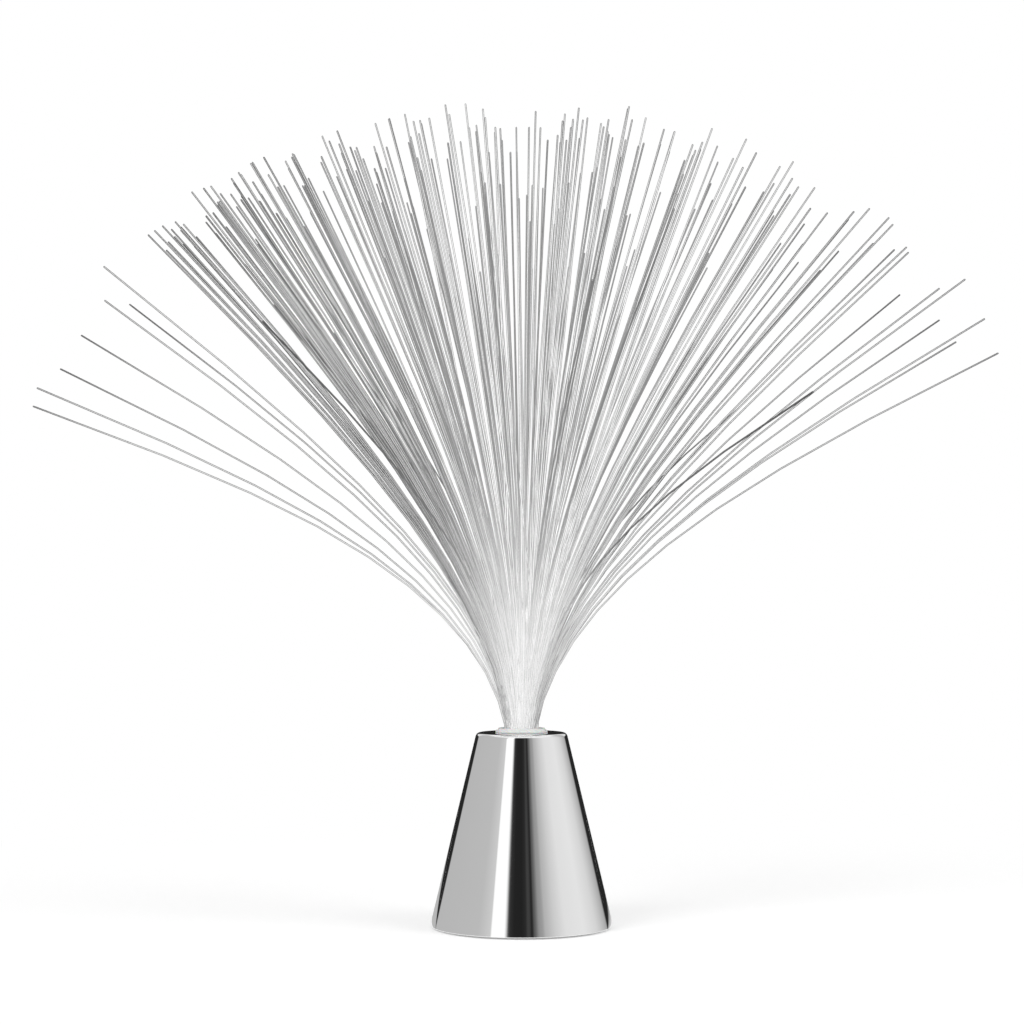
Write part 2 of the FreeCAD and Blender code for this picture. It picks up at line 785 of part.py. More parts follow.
def fibre_path(index, attempt, spread):
    """A fibre's root, heading, full lean and length, and its path: run sideways and height at each step."""
    heading, full = aim(index, attempt, spread)
    radius = root_ring * math.sqrt((index + 0.5) / fibre_count)
    azimuth = index * golden_turn
    length = fibre_length * (1 + length_spread * scatter(index, 3 * attempt + 2))
    run, height = [0.0], [collar_top]
    for i in range(path_count):
        lean = tangent_lean(full, (i + 0.5) * path_step)
        run.append(run[-1] + math.sin(lean) * path_step)
        height.append(height[-1] + math.cos(lean) * path_step)
    return {"root": (radius * math.cos(azimuth), radius * math.sin(azimuth)), "heading": heading,
            "full": full, "length": length, "run": run, "height": height}


def samples(fibre):
    """Points along a fibre above the neck, each with the fibre's direction there."""
    c, d = math.cos(fibre["heading"]), math.sin(fibre["heading"])
    found = []
    s = neck_height
    while s < fibre_length:
        lean = tangent_lean(fibre["full"], s)
        run = between(fibre["run"], s)
        found.append((fibre["root"][0] + run * c, fibre["root"][1] + run * d, between(fibre["height"], s),
                      math.sin(lean) * c, math.sin(lean) * d, math.cos(lean)))
        s += sample_step
    return found


def stays_clear(here, others, least):
    """Whether a fibre keeps at least this far from every other, measured square to them."""
    for other in others:
        for (x, y, z, _, _, _), (ox, oy, oz, dx, dy, dz) in zip(here, other):
            x, y, z = x - ox, y - oy, z - oz
            along = x * dx + y * dy + z * dz
            if x * x + y * y + z * z - along * along < least * least:
                return False
    return True


def plan_fibres():
    """Every fibre in turn, aimed afresh until it stays clear of those before it."""
    chosen, placed = [], []
    for index in range(fibre_count):
        for attempt in range(aim_tries):
            fibre = fibre_path(index, attempt, 1 + aim_widening * attempt / aim_tries)
            here = samples(fibre)
            if stays_clear(here, placed, fibre_side + fibre_clearance):
                break
        else:
            print("fibre", index, "is close to another")
        chosen.append(fibre)
        placed.append(here)
    return chosen


def core_radius(z):
    """The packed bundle's radius at height z: round in the collar, then as wide as its outer fibres lean."""
    if z <= collar_top:
        return bundle_radius
    full = math.radians(lean_to_tangent * bulk_lean)
    s = z - collar_top
    return bundle_radius + full * (s - (1 - start_share) * bend_length * (1 - math.exp(-s / bend_length)))


def leave_core(fibre):
    """The distance s at which a fibre comes out of the packed bundle, and whether it does so at its side."""
    c, d = math.cos(fibre["heading"]), math.sin(fibre["heading"])
    x, y = fibre["root"]
    s = 0.0
    while between(fibre["height"], s) < neck_top:
        run = between(fibre["run"], s)
        if math.hypot(x + run * c, y + run * d) > core_radius(between(fibre["height"], s)):
            return max(0.0, s - foot_depth), True
        s += path_step / 10
    return s, False


def make_fibre(fibre):
    """A fibre above the packed bundle: an outline in its upright plane, as thick as it is wide."""
    half = fibre_side / 2
    full = fibre["full"]
    first, beside = leave_core(fibre)
    low, high = tangent_lean(full, first), tangent_lean(full, fibre["length"])
    count = max(1, math.ceil(math.degrees(high - low) / turn_per_facet))
    stops = []
    for i in range(1, count):
        lean = low + (high - low) * i / count
        stops.append(-bend_length * math.log((1 - lean / full) / (1 - start_share)))
    stops.append(fibre["length"])
    left, right = [], []
    if beside:
        stops.insert(0, first)
    else:
        run, foot = between(fibre["run"], first), half / math.cos(low)
        left.append((run - foot, neck_top))
        right.append((run + foot, neck_top))
    for s in stops:
        lean = tangent_lean(full, s)
        run, height = between(fibre["run"], s), between(fibre["height"], s)
        left.append((run - half * math.cos(lean), height + half * math.sin(lean)))
        right.append((run + half * math.cos(lean), height - half * math.sin(lean)))
    c, d = math.cos(fibre["heading"]), math.sin(fibre["heading"])
    x, y = fibre["root"]
    side = Vector(-d, c, 0) * half
    corners = [Vector(x + u * c, y + u * d, z) - side for u, z in left + right[::-1]]
    face = Part.Face(Part.makePolygon(corners + corners[:1]))
    return face.extrude(side * 2)


# Bundle core: the fibres' packed and glued lower ends, polished flat below, widening to a neck above
def bundle_outline(z):
    """The corners of the packed bundle's many-sided outline at height z."""
    return [Vector(x, y, z) for x, y in around(bundle_sides, core_radius(z))]


def flat_face(corners):
    """The flat face inside these corners."""
    return Part.Face(Part.makePolygon(corners + corners[:1]))


def make_bundle_core():
    levels = [tube_bottom, collar_top, (collar_top + neck_top) / 2, neck_top]
    outlines = [bundle_outline(z) for z in levels]
    faces = [flat_face(outlines[0]), flat_face(outlines[-1])]
    for low, high in zip(outlines, outlines[1:]):
        for i in range(bundle_sides):
            faces.append(flat_face([low[i - 1], low[i], high[i], high[i - 1]]))
    shell = Part.makeShell(faces)
    shell.sewShape()
    core = Part.makeSolid(shell)
    if core.Volume < 0:
        core.reverse()
    return core


# Wires: plus contact to switch, switch to board, and minus contact to board
def make_wires():
    (plus_x, plus_y), (minus_x, minus_y) = tail_places
    red = [(plus_x, plus_y, tail_top), (plus_x, plus_y, tail_top + wire_rise),
           (wire_loop_x_share * switch_x, wire_loop_y_share * plus_y, tail_top + wire_rise),
           (switch_x, lug_pitch, lug_top + wire_rise + wire_loop_rise), (switch_x, lug_pitch, lug_top)]
    feed = [(switch_x, -lug_pitch, lug_top), (switch_x, -lug_pitch, lug_top + wire_rise),
            (switch_pad[0], switch_pad[1], board_bottom - wire_rise),
            (switch_pad[0], switch_pad[1], board_bottom)]
    black = [(minus_x, minus_y, tail_top), (minus_x, minus_y, tail_top + wire_rise),
             (minus_pad[0], minus_pad[1], board_bottom - wire_rise),
             (minus_pad[0], minus_pad[1], board_bottom)]
    return {"wire_plus": wire_tube(red, wire_radius), "wire_switched": wire_tube(feed, wire_radius),
            "wire_minus": wire_tube(black, wire_radius)}


os.makedirs("parts", exist_ok=True)

export("cone_shell", [make_cone_shell()])
export("floor_plate", [make_floor_plate()])
export("battery_door", [make_battery_door()])
export("plate_screws", make_plate_screws())
export("rubber_feet", make_rubber_feet())
for number in range(3):
    export("cell_" + str(number + 1), [make_cell(number)])
for name, shape in make_contacts().items():
    export(name, [shape])
export("switch_frame", [make_switch_frame()])
export("switch_body", [make_switch_body()])
export("switch_knob", [make_switch_knob()])
export("switch_screws", make_switch_screws())
export("light_board", [make_light_board()])
export("board_screws", make_board_screws())
for colour, (led_x, led_y) in zip(("red", "green", "blue"), led_places):
    export("led_" + colour, [make_led(led_x, led_y)])
export("control_chip", [make_control_chip()])
export("resistors", make_resistors())
for name, shape in make_wires().items():
    export(name, [shape])
export("collar", [make_collar()])
export("bundle_tube", [make_bundle_tube()])

planned = plan_fibres()
export("bundle_core", [make_bundle_core()])
third = math.ceil(fibre_count / 3)
for name, first in (("fibres_inner", 0), ("fibres_middle", third), ("fibres_outer", 2 * third)):
    export(name, [make_fibre(f) for f in planned[first:first + third]])
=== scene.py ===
"""Looks of the battery fibre optic lamp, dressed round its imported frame. Metres, +Z up, -Y is the front."""
import math
import bpy
import numpy as np
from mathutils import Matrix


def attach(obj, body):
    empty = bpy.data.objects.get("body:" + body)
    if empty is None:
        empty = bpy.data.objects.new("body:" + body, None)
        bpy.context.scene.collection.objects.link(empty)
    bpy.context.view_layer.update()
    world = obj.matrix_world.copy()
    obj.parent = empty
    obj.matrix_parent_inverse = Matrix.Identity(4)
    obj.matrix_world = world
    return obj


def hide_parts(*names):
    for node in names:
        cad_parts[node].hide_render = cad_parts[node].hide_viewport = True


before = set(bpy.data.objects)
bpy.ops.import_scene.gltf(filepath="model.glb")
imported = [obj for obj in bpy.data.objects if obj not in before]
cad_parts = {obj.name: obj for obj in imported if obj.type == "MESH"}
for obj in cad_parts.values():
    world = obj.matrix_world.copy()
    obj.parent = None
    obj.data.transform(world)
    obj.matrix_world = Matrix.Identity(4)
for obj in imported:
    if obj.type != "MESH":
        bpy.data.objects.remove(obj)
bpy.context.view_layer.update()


# Camera: level with the lower third of the spray, about a metre in front, tilted up so that the lamp fills the frame.
# The lens gives 0.44 mm of the lamp's middle plane for each of 1024 pixels.
camera_distance = 1.060
camera_height = 0.150
camera_side = -0.0042
camera_tilt = math.radians(1.715)
picture_pixels = 1024
focal_pixels = 2409
camera_data = bpy.data.cameras.new("camera")
camera_data.sensor_width = 36.0
camera_data.lens = camera_data.sensor_width * focal_pixels / picture_pixels
camera_data.clip_start, camera_data.clip_end = 0.01, 100.0
camera = bpy.data.objects.new("camera", camera_data)
camera.location = (camera_side, -camera_distance, camera_height)
camera.rotation_euler = (math.pi / 2 + camera_tilt, 0, 0)
bpy.context.scene.collection.objects.link(camera)
bpy.context.scene.camera = camera


# Studio floor: a pale table that keeps the lamp's soft shadow near it and fades into the white background.
# Past the shadow it has no shade of its own, so no horizon shows, and from below it is clear.
floor_reach = 2.8
shadow_reach = 0.45
floor_lift = 0.27
corners = np.array([(-1, -1, 0), (1, -1, 0), (1, 1, 0), (-1, 1, 0)]) * floor_reach
floor_mesh = bpy.data.meshes.new("floor")
floor_mesh.from_pydata(corners.tolist(), [], [(0, 1, 2, 3)])
floor = bpy.data.objects.new("floor", floor_mesh)
bpy.context.scene.collection.objects.link(floor)


def blank_material(name):
    """A material with empty nodes, and its nodes and links."""
    made = bpy.data.materials.new(name)
    made.use_nodes = True
    made.node_tree.nodes.clear()
    return made, made.node_tree.nodes, made.node_tree.links


def seen_rays(nodes, links):
    """A socket that is 1 for rays from the camera, mirrors and clear pieces, and 0 for the rays that light things."""
    path = nodes.new("ShaderNodeLightPath")
    last = path.outputs["Is Camera Ray"]
    for kind in ("Is Glossy Ray", "Is Transmission Ray"):
        either = nodes.new("ShaderNodeMath")
        either.operation = "MAXIMUM"
        links.new(last, either.inputs[0])
        links.new(path.outputs[kind], either.inputs[1])
        last = either.outputs[0]
    return last


floor_paint, nodes, links = blank_material("pale_table")
out = nodes.new("ShaderNodeOutputMaterial")
table = nodes.new("ShaderNodeBsdfDiffuse")
table.inputs["Color"].default_value = (0.90, 0.90, 0.90, 1)
glow = nodes.new("ShaderNodeEmission")
white = nodes.new("ShaderNodeEmission")
lift = nodes.new("ShaderNodeMath")
lift.operation = "MULTIPLY"
lift.inputs[1].default_value = floor_lift
both = nodes.new("ShaderNodeAddShader")
place = nodes.new("ShaderNodeTexCoord")
length = nodes.new("ShaderNodeVectorMath")
length.operation = "LENGTH"
fade = nodes.new("ShaderNodeMapRange")
fade.interpolation_type = "SMOOTHSTEP"
fade.inputs["From Min"].default_value = 0.3 * shadow_reach
fade.inputs["From Max"].default_value = shadow_reach
seen = nodes.new("ShaderNodeMath")
seen.operation = "MULTIPLY"
blend = nodes.new("ShaderNodeMixShader")
side = nodes.new("ShaderNodeNewGeometry")
clear = nodes.new("ShaderNodeBsdfTransparent")
from_below = nodes.new("ShaderNodeMixShader")
looked_at = seen_rays(nodes, links)
links.new(looked_at, lift.inputs[0])
links.new(lift.outputs[0], glow.inputs["Strength"])
links.new(table.outputs[0], both.inputs[0])
links.new(glow.outputs[0], both.inputs[1])
links.new(place.outputs["Object"], length.inputs[0])
links.new(length.outputs["Value"], fade.inputs["Value"])
links.new(fade.outputs["Result"], seen.inputs[0])
links.new(looked_at, seen.inputs[1])
links.new(seen.outputs[0], blend.inputs["Fac"])
links.new(both.outputs[0], blend.inputs[1])
links.new(white.outputs[0], blend.inputs[2])
links.new(side.outputs["Backfacing"], from_below.inputs["Fac"])
links.new(blend.outputs[0], from_below.inputs[1])
links.new(clear.outputs[0], from_below.inputs[2])
links.new(from_below.outputs[0], out.inputs["Surface"])
floor_mesh.materials.append(floor_paint)


# Studio tent: unseen domes and a table sheet of soft light and black cards. The first dome and the sheet are what the
# chrome reflects: a grey left side, a white strip, a black card round the camera, a pale right side and a dark band
# low behind the lamp. The second dome is the even white that the clear fibres bend into view.
tent_radius = 3.0
azimuth_steps = 360
elevation_steps = 60
chrome_azimuth = (-180, -139, -136, -57, -49, -42, -40, -38.5, -22, -19.5, -17.5, -15, -10, 0, 5, 8, 10.5, 12.5, 14,
                  16, 18, 22, 27, 30, 33, 38, 43, 48, 53, 58, 85, 108, 134, 139, 180)
chrome_shade = (0.02, 0.02, 0.50, 0.53, 0.58, 0.63, 0.64, 1.10, 1.10, 0.62, 0.08, 0.03, 0.018, 0.017, 0.025, 0.055,
                0.05, 0.016, 0.03, 0.10, 0.14, 0.30, 0.36, 0.48, 0.51, 0.58, 0.65, 0.70, 0.75, 0.80, 0.84, 0.72,
                0.42, 0.02, 0.02)
sheet_near, sheet_reach, sheet_lift, sheet_steps = 0.05, 2.8, 0.0006, 40


def card_sheet(name, points, shades, rays):
    """A sheet of emitting cards on a grid of points, each as bright as its shade. Only one kind of ray meets it."""
    ids = np.arange(shades.size).reshape(shades.shape)
    quads = np.stack([ids[:-1, :-1], ids[:-1, 1:], ids[1:, 1:], ids[1:, :-1]], -1).reshape(-1, 4)
    mesh = bpy.data.meshes.new(name)
    mesh.from_pydata(points.reshape(-1, 3).tolist(), [], quads.tolist())
    shade = mesh.attributes.new("shade", "FLOAT", "POINT")
    shade.data.foreach_set("value", shades.astype(np.float32).ravel())
    sheet = bpy.data.objects.new(name, mesh)
    bpy.context.scene.collection.objects.link(sheet)
    for kind in ("camera", "diffuse", "glossy", "transmission", "volume_scatter", "shadow"):
        setattr(sheet, "visible_" + kind, kind == rays)
    made, nodes, links = blank_material(name)
    read = nodes.new("ShaderNodeAttribute")
    read.attribute_name = "shade"
    emit = nodes.new("ShaderNodeEmission")
    out = nodes.new("ShaderNodeOutputMaterial")
    links.new(read.outputs["Fac"], emit.inputs["Strength"])
    links.new(emit.outputs[0], out.inputs["Surface"])
    mesh.materials.append(made)


def dome(a, e):
    """The point of the tent at azimuth a from the front and elevation e: R (sin a cos e, -cos a cos e, sin e)."""
    ra, re = np.radians(a), np.radians(e)
    return np.stack([np.sin(ra) * np.cos(re), -np.cos(ra) * np.cos(re), np.sin(re)], -1) * tent_radius


def chrome_surroundings(a, e):
    """Bands by azimuth below 45 degrees, white overhead, and pale above the dark band behind but for a dark strip."""
    bands = np.interp(a, chrome_azimuth, chrome_shade)
    behind = np.abs(a) > 137
    high_behind = np.where(np.abs(np.abs(a) - 172) < 8, 0.03, 0.75)
    bands = np.where(behind, np.where(e < 13, bands, high_behind), bands)
    up = np.clip((e - 42) / 10, 0, 1)
    return bands * (1 - up) + 1.0 * up


def fibre_surroundings(a, e):
    """White all round, a little greyer overhead."""
    return 1.0 - 0.25 * np.clip((e - 40) / 50, 0, 1) + 0 * a


def table_surroundings(a, d):
    """On the table in front the same bands go on down. Behind, it is grey near the lamp, further out on the left, and
    black beyond."""
    bands = np.interp(a, chrome_azimuth, chrome_shade)
    left = np.interp(d, (0.35, 0.55), (0.50, 0.02))
    right = np.interp(d, (0.06, 0.16), (0.62, 0.02))
    return np.where(a < -100, left, np.where(a > 105, right, bands))


a, e = np.meshgrid(np.linspace(-180, 180, azimuth_steps + 1), np.linspace(-1, 90, elevation_steps + 1))
card_sheet("tent_for_chrome", dome(a, e), chrome_surroundings(a, e), "glossy")
card_sheet("tent_for_fibres", dome(a, e), fibre_surroundings(a, e), "transmission")
a, d = np.meshgrid(np.linspace(-180, 180, azimuth_steps + 1), np.geomspace(sheet_near, sheet_reach, sheet_steps))
flat = np.stack([d * np.sin(np.radians(a)), -d * np.cos(np.radians(a)), sheet_lift + 0 * a], -1)
card_sheet("table_for_chrome", flat, table_surroundings(a, d), "glossy")


# Light: a white world and two wide soft lamps, one at each side of the front, at a level that renders a colour about
# as it is written. Mirrors don't show the lamps.
world_level = 0.62
world = bpy.data.worlds.new("white_studio")
bpy.context.scene.world = world
world.use_nodes = True
nodes, links = world.node_tree.nodes, world.node_tree.links
nodes.clear()
sky = nodes.new("ShaderNodeBackground")
sky.inputs["Color"].default_value = (1, 1, 1, 1)
out = nodes.new("ShaderNodeOutputWorld")
level = nodes.new("ShaderNodeMapRange")
level.inputs["To Min"].default_value = world_level
level.inputs["To Max"].default_value = 1.0
links.new(seen_rays(nodes, links), level.inputs["Value"])
links.new(level.outputs["Result"], sky.inputs["Strength"])
links.new(sky.outputs[0], out.inputs["Surface"])
for name, spot, watts in (("lamp_left", (-1.2, -1.3, 1.5), 13.0), ("lamp_right", (1.4, -0.7, 1.7), 9.0)):
    lamp = bpy.data.lights.new(name, "AREA")
    lamp.shape, lamp.size, lamp.energy = "DISK", 1.2, watts
    lamp_object = bpy.data.objects.new(name, lamp)
    lamp_object.location = spot
    aim = np.array([0, 0, 0.15]) - np.array(spot)
    tilt, turn = math.atan2(math.hypot(aim[0], aim[1]), -aim[2]), math.atan2(aim[1], aim[0]) - math.pi / 2
    lamp_object.rotation_euler = (tilt, 0, turn)
    lamp_object.visible_glossy = False
    bpy.context.scene.collection.objects.link(lamp_object)
bpy.context.scene.view_settings.view_transform = "Standard"


# Cone: the lamp's body, moulded in ABS and chrome plated outside and in, with the fibre plug's socket in its deck.
# It is one turned wall, 2 mm thick, with soft edges at the rim and at the deck, where the plating runs round.
base_radius, deck_radius = 40.0, 19.8
rim_height, deck_height = 0.8, 85.0
wall, deck_thickness = 2.0, 2.4
rim_reach, deck_reach = 0.4, 1.9
socket_radius, socket_wall, socket_bottom, socket_lead = 9.2, 1.6, 46.0, 0.35
cone_slope = (base_radius - deck_radius) / (deck_height - rim_height)
wall_run = wall * math.sqrt(1 + cone_slope ** 2)
crease = math.radians(32)
MM = 0.001


def eased(corners, reach, steps=7):
    """A profile with its corners eased. Each corner P with reach d becomes the parabola
    (1-u)^2 A + 2u(1-u) P + u^2 B, where A and B lie d before and after P, and points that fall together are one."""
    p = np.array(corners, float)
    d = np.array(reach, float)[:, None]
    before, after = np.roll(p, 1, 0) - p, np.roll(p, -1, 0) - p
    before /= np.linalg.norm(before, axis=1)[:, None]
    after /= np.linalg.norm(after, axis=1)[:, None]
    u = np.linspace(0, 1, steps)[None, :, None]
    a, b = (p + before * d)[:, None], (p + after * d)[:, None]
    points = ((1 - u) ** 2 * a + 2 * u * (1 - u) * p[:, None] + u ** 2 * b).reshape(-1, 2)
    gap = np.linalg.norm(points - np.roll(points, 1, 0), axis=1)
    return points[gap > 1e-6]


def turned(profile, sides, x=0.0, y=0.0):
    """Rings of a profile turned about an upright axis: the point (r, z) at angle t is (x + r cos t, y + r sin t, z)."""
    profile = np.array(profile, float)
    t = np.arange(sides) * 2 * math.pi / sides
    r, z = profile[:, :1], profile[:, 1:]
    return np.stack([x + r * np.cos(t), y + r * np.sin(t), z + 0 * t], -1)


def ring_faces(count, sides, loop):
    """Quads between neighbouring rings. With loop the last ring meets the first, and otherwise the ends are capped."""
    ids = np.arange(count * sides).reshape(count, sides)
    low, high = (ids, np.roll(ids, -1, 0)) if loop else (ids[:-1], ids[1:])
    quads = np.stack([low, np.roll(low, -1, 1), np.roll(high, -1, 1), high], -1).reshape(-1, 4).tolist()
    return quads if loop else quads + [ids[0, ::-1].tolist(), ids[-1].tolist()]


def signed_volume(points, faces):
    """The volume inside the faces: a sixth of the sum of a . (b x c) over the triangles of each face's fan."""
    quads = np.array([f for f in faces if len(f) == 4])
    fans = [np.stack([np.full(len(f) - 2, f[0]), f[1:-1], f[2:]], -1) for f in faces if len(f) != 4]
    tris = np.vstack([quads[:, [0, 1, 2]], quads[:, [0, 2, 3]]] + fans)
    a, b, c = points[tris].transpose(1, 0, 2)
    return np.einsum("ij,ij->", a, np.cross(b, c)) / 6


def skin(name, groups, loop=False, angle=crease):
    """One mesh object through several arrays of rings, each array a closed body of its own whose faces point outwards.
    The rings are in millimetres."""
    points, faces, start = [], [], 0
    for rings in groups:
        flat = rings.reshape(-1, 3)
        own = ring_faces(rings.shape[0], rings.shape[1], loop)
        if signed_volume(flat - flat.mean(0), own) < 0:
            own = [f[::-1] for f in own]
        faces += [[i + start for i in f] for f in own]
        points.append(flat)
        start += len(flat)
    mesh = bpy.data.meshes.new(name)
    mesh.from_pydata((np.vstack(points) * MM).tolist(), [], faces)
    mesh.shade_smooth()
    mesh.set_sharp_from_angle(angle=angle)
    piece = bpy.data.objects.new(name, mesh)
    bpy.context.scene.collection.objects.link(piece)
    return piece


def surface_group():
    """A node group that varies a finish over its surface from Object coordinates: a broad cloud mixes two colours,
    a fine grain sets the roughness between two values and raises the surface by Relief metres."""
    group = bpy.data.node_groups.new("surface_variation", "ShaderNodeTree")
    face = group.interface
    for name, kind, value in (("Light", "NodeSocketColor", (1, 1, 1, 1)), ("Dark", "NodeSocketColor", (0, 0, 0, 1)),
                              ("Cloud Scale", "NodeSocketFloat", 40.0), ("Grain Scale", "NodeSocketFloat", 900.0),
                              ("Smooth", "NodeSocketFloat", 0.3), ("Rough", "NodeSocketFloat", 0.5),
                              ("Relief", "NodeSocketFloat", 0.00002)):
        face.new_socket(name, in_out="INPUT", socket_type=kind).default_value = value
    for name, kind in (("Color", "NodeSocketColor"), ("Roughness", "NodeSocketFloat"), ("Normal", "NodeSocketVector")):
        face.new_socket(name, in_out="OUTPUT", socket_type=kind)
    nodes, links = group.nodes, group.links
    given, result = nodes.new("NodeGroupInput"), nodes.new("NodeGroupOutput")
    where = nodes.new("ShaderNodeTexCoord")
    cloud, grain = nodes.new("ShaderNodeTexNoise"), nodes.new("ShaderNodeTexNoise")
    cloud.inputs["Detail"].default_value = 3.0
    grain.inputs["Detail"].default_value = 4.0
    mix = nodes.new("ShaderNodeMix")
    mix.data_type = "RGBA"
    spread = nodes.new("ShaderNodeMapRange")
    spread.inputs["From Min"].default_value = 0.3
    spread.inputs["From Max"].default_value = 0.7
    bump = nodes.new("ShaderNodeBump")
    bump.inputs["Strength"].default_value = 1.0
    for texture, scale in ((cloud, "Cloud Scale"), (grain, "Grain Scale")):
        links.new(where.outputs["Object"], texture.inputs["Vector"])
        links.new(given.outputs[scale], texture.inputs["Scale"])
    links.new(cloud.outputs["Fac"], mix.inputs["Factor"])
    links.new(given.outputs["Light"], mix.inputs["A"])
    links.new(given.outputs["Dark"], mix.inputs["B"])
    links.new(mix.outputs["Result"], result.inputs["Color"])
    links.new(grain.outputs["Fac"], spread.inputs["Value"])
    links.new(given.outputs["Smooth"], spread.inputs["To Min"])
    links.new(given.outputs["Rough"], spread.inputs["To Max"])
    links.new(spread.outputs["Result"], result.inputs["Roughness"])
    links.new(grain.outputs["Fac"], bump.inputs["Height"])
    links.new(given.outputs["Relief"], bump.inputs["Distance"])
    links.new(bump.outputs["Normal"], result.inputs["Normal"])
    return group


surface_variation = surface_group()


def grey(value):
    """A colour with red, green and blue alike."""
    return (value, value, value)


def finish(name, light, dark, smooth, rough, cloud=40.0, grain=900.0, relief=0.0, **plain):
    """A material for one finish: the surface variation with this finish's values, and its plain sockets by name."""
    made, nodes, links = blank_material(name)
    shader = nodes.new("ShaderNodeBsdfPrincipled")
    out = nodes.new("ShaderNodeOutputMaterial")
    varied = nodes.new("ShaderNodeGroup")
    varied.node_tree = surface_variation
    varied.name = "variation"
    for socket, value in (("Light", (*light, 1)), ("Dark", (*dark, 1)), ("Cloud Scale", cloud),
                          ("Grain Scale", grain), ("Smooth", smooth), ("Rough", rough), ("Relief", relief)):
        varied.inputs[socket].default_value = value
    for socket, value in plain.items():
        shader.inputs[socket.replace("_", " ")].default_value = value
    links.new(varied.outputs["Color"], shader.inputs["Base Color"])
    links.new(varied.outputs["Roughness"], shader.inputs["Roughness"])
    if relief:
        links.new(varied.outputs["Normal"], shader.inputs["Normal"])
    links.new(shader.outputs[0], out.inputs["Surface"])
    return made


def dress(piece, made, body, slot, *replaced):
    """Give a new piece its material and its body, and hide the CAD nodes that it stands for. The slot is not used."""
    piece.data.materials.append(made)
    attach(piece, body)
    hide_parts(*replaced)


def paint(made, *names):
    """Give CAD nodes that keep their own shape a material."""
    for name in names:
        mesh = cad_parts[name].data
        mesh.materials.clear()
        mesh.materials.append(made)


socket_outer = socket_radius + socket_wall
roof = deck_height - deck_thickness
inner_low = base_radius - wall_run
inner_high = base_radius - cone_slope * (roof - rim_height) - wall_run
cone_profile = eased(
    [(base_radius, rim_height), (deck_radius, deck_height), (socket_radius, deck_height),
     (socket_radius, socket_bottom), (socket_outer, socket_bottom), (socket_outer, roof),
     (inner_high, roof), (inner_low, rim_height)],
    [rim_reach, deck_reach, socket_lead, 0.2, 0.2, 0.5, 0.5, 0.3], steps=9)
cone = skin("cone", [turned(cone_profile, 256)], loop=True, angle=math.radians(60))
chrome = finish("chrome_plate", grey(0.93), grey(0.90), 0.025, 0.05, cloud=35.0, grain=160.0, Metallic=1.0)
dress(cone, chrome, "base", "chrome_plate", "cone_shell")


# Floor plate and battery door: black ABS mouldings with the fine spark texture of their tool. The plate carries the
# battery tub on its top, and the door hinges on two pins in the plate and latches with a tongue.
black_plastic = finish("black_plastic", grey(0.024), grey(0.017), 0.42, 0.6, cloud=60.0, grain=2600.0,
                       relief=0.00003)
paint(black_plastic, "floor_plate", "battery_door")


# Feet: four round moulded rubber pads with a soft lower edge, glued in a ring under the floor plate. The lamp stands
# on them, clear of the table.
foot_radius, foot_height, foot_ring, foot_ease = 3.75, 3.0, 31.016, 0.5
foot_angles = np.radians(45 + 90 * np.arange(4))
foot_profile = eased([(0.3, 0.0), (foot_radius, 0.0), (foot_radius, foot_height), (0.3, foot_height)],
                     [0, foot_ease, 0.1, 0], steps=6)
feet = skin("feet", [turned(foot_profile, 64, foot_ring * math.cos(t), foot_ring * math.sin(t)) for t in foot_angles])
rubber = finish("foot_rubber", grey(0.035), grey(0.022), 0.72, 0.9, cloud=220.0, grain=1800.0, relief=0.00002)
dress(feet, rubber, "base", "foot_rubber", "rubber_feet")


# Screw bosses: moulded inside the cone with it and plated with it. Three take the floor plate's screws and reach into
# the taper's wall, and two under the deck hold the light board.
plate_boss_radius, plate_boss_low, plate_boss_high, plate_screw_ring = 2.6, 5.5, 19.5, 33.816
board_boss_radius, board_boss_high, board_screw_ring = 2.4, 59.0, 13.0
plate_screw_seat, board_bottom, switch_screw_seat = 3.0, 44.4, 6.0
plate_screw_angles = np.radians(90 + 120 * np.arange(3))
board_screw_angles = np.radians(180 * np.arange(2))


def boss(radius, bore, low, high, depth, ring, t):
    """A post with a blind hole from below, turned about its own axis, whose far side stays within the cone's wall."""
    profile = eased([(0.03, low + depth), (bore, low + depth), (bore, low), (radius, low), (radius, high),
                     (0.03, high)], [0, 0.05, 0.15, 0.15, 0.3, 0], steps=4)
    rings = turned(profile, 40, ring * math.cos(t), ring * math.sin(t))
    out = np.hypot(rings[..., 0], rings[..., 1])
    most = base_radius - cone_slope * (rings[..., 2] - rim_height) - wall_run / 2
    rings[..., :2] *= np.minimum(1, most / out)[..., None]
    return rings


bosses = skin("screw_bosses", [boss(plate_boss_radius, 1.3, plate_boss_low, plate_boss_high, 7.7,
                                    plate_screw_ring, t) for t in plate_screw_angles]
              + [boss(board_boss_radius, 0.95, socket_bottom, board_boss_high, 8.0, board_screw_ring, t)
                 for t in board_screw_angles])
dress(bosses, chrome, "base", "chrome_plate", "cone_shell")


# Screws: zinc-plated steel pan heads with a cross recess and a rolled thread. Three hold the floor plate, two the light
# board and two the switch.
thread_pitch, thread_share, recess_share = 0.9, 0.12, 0.62


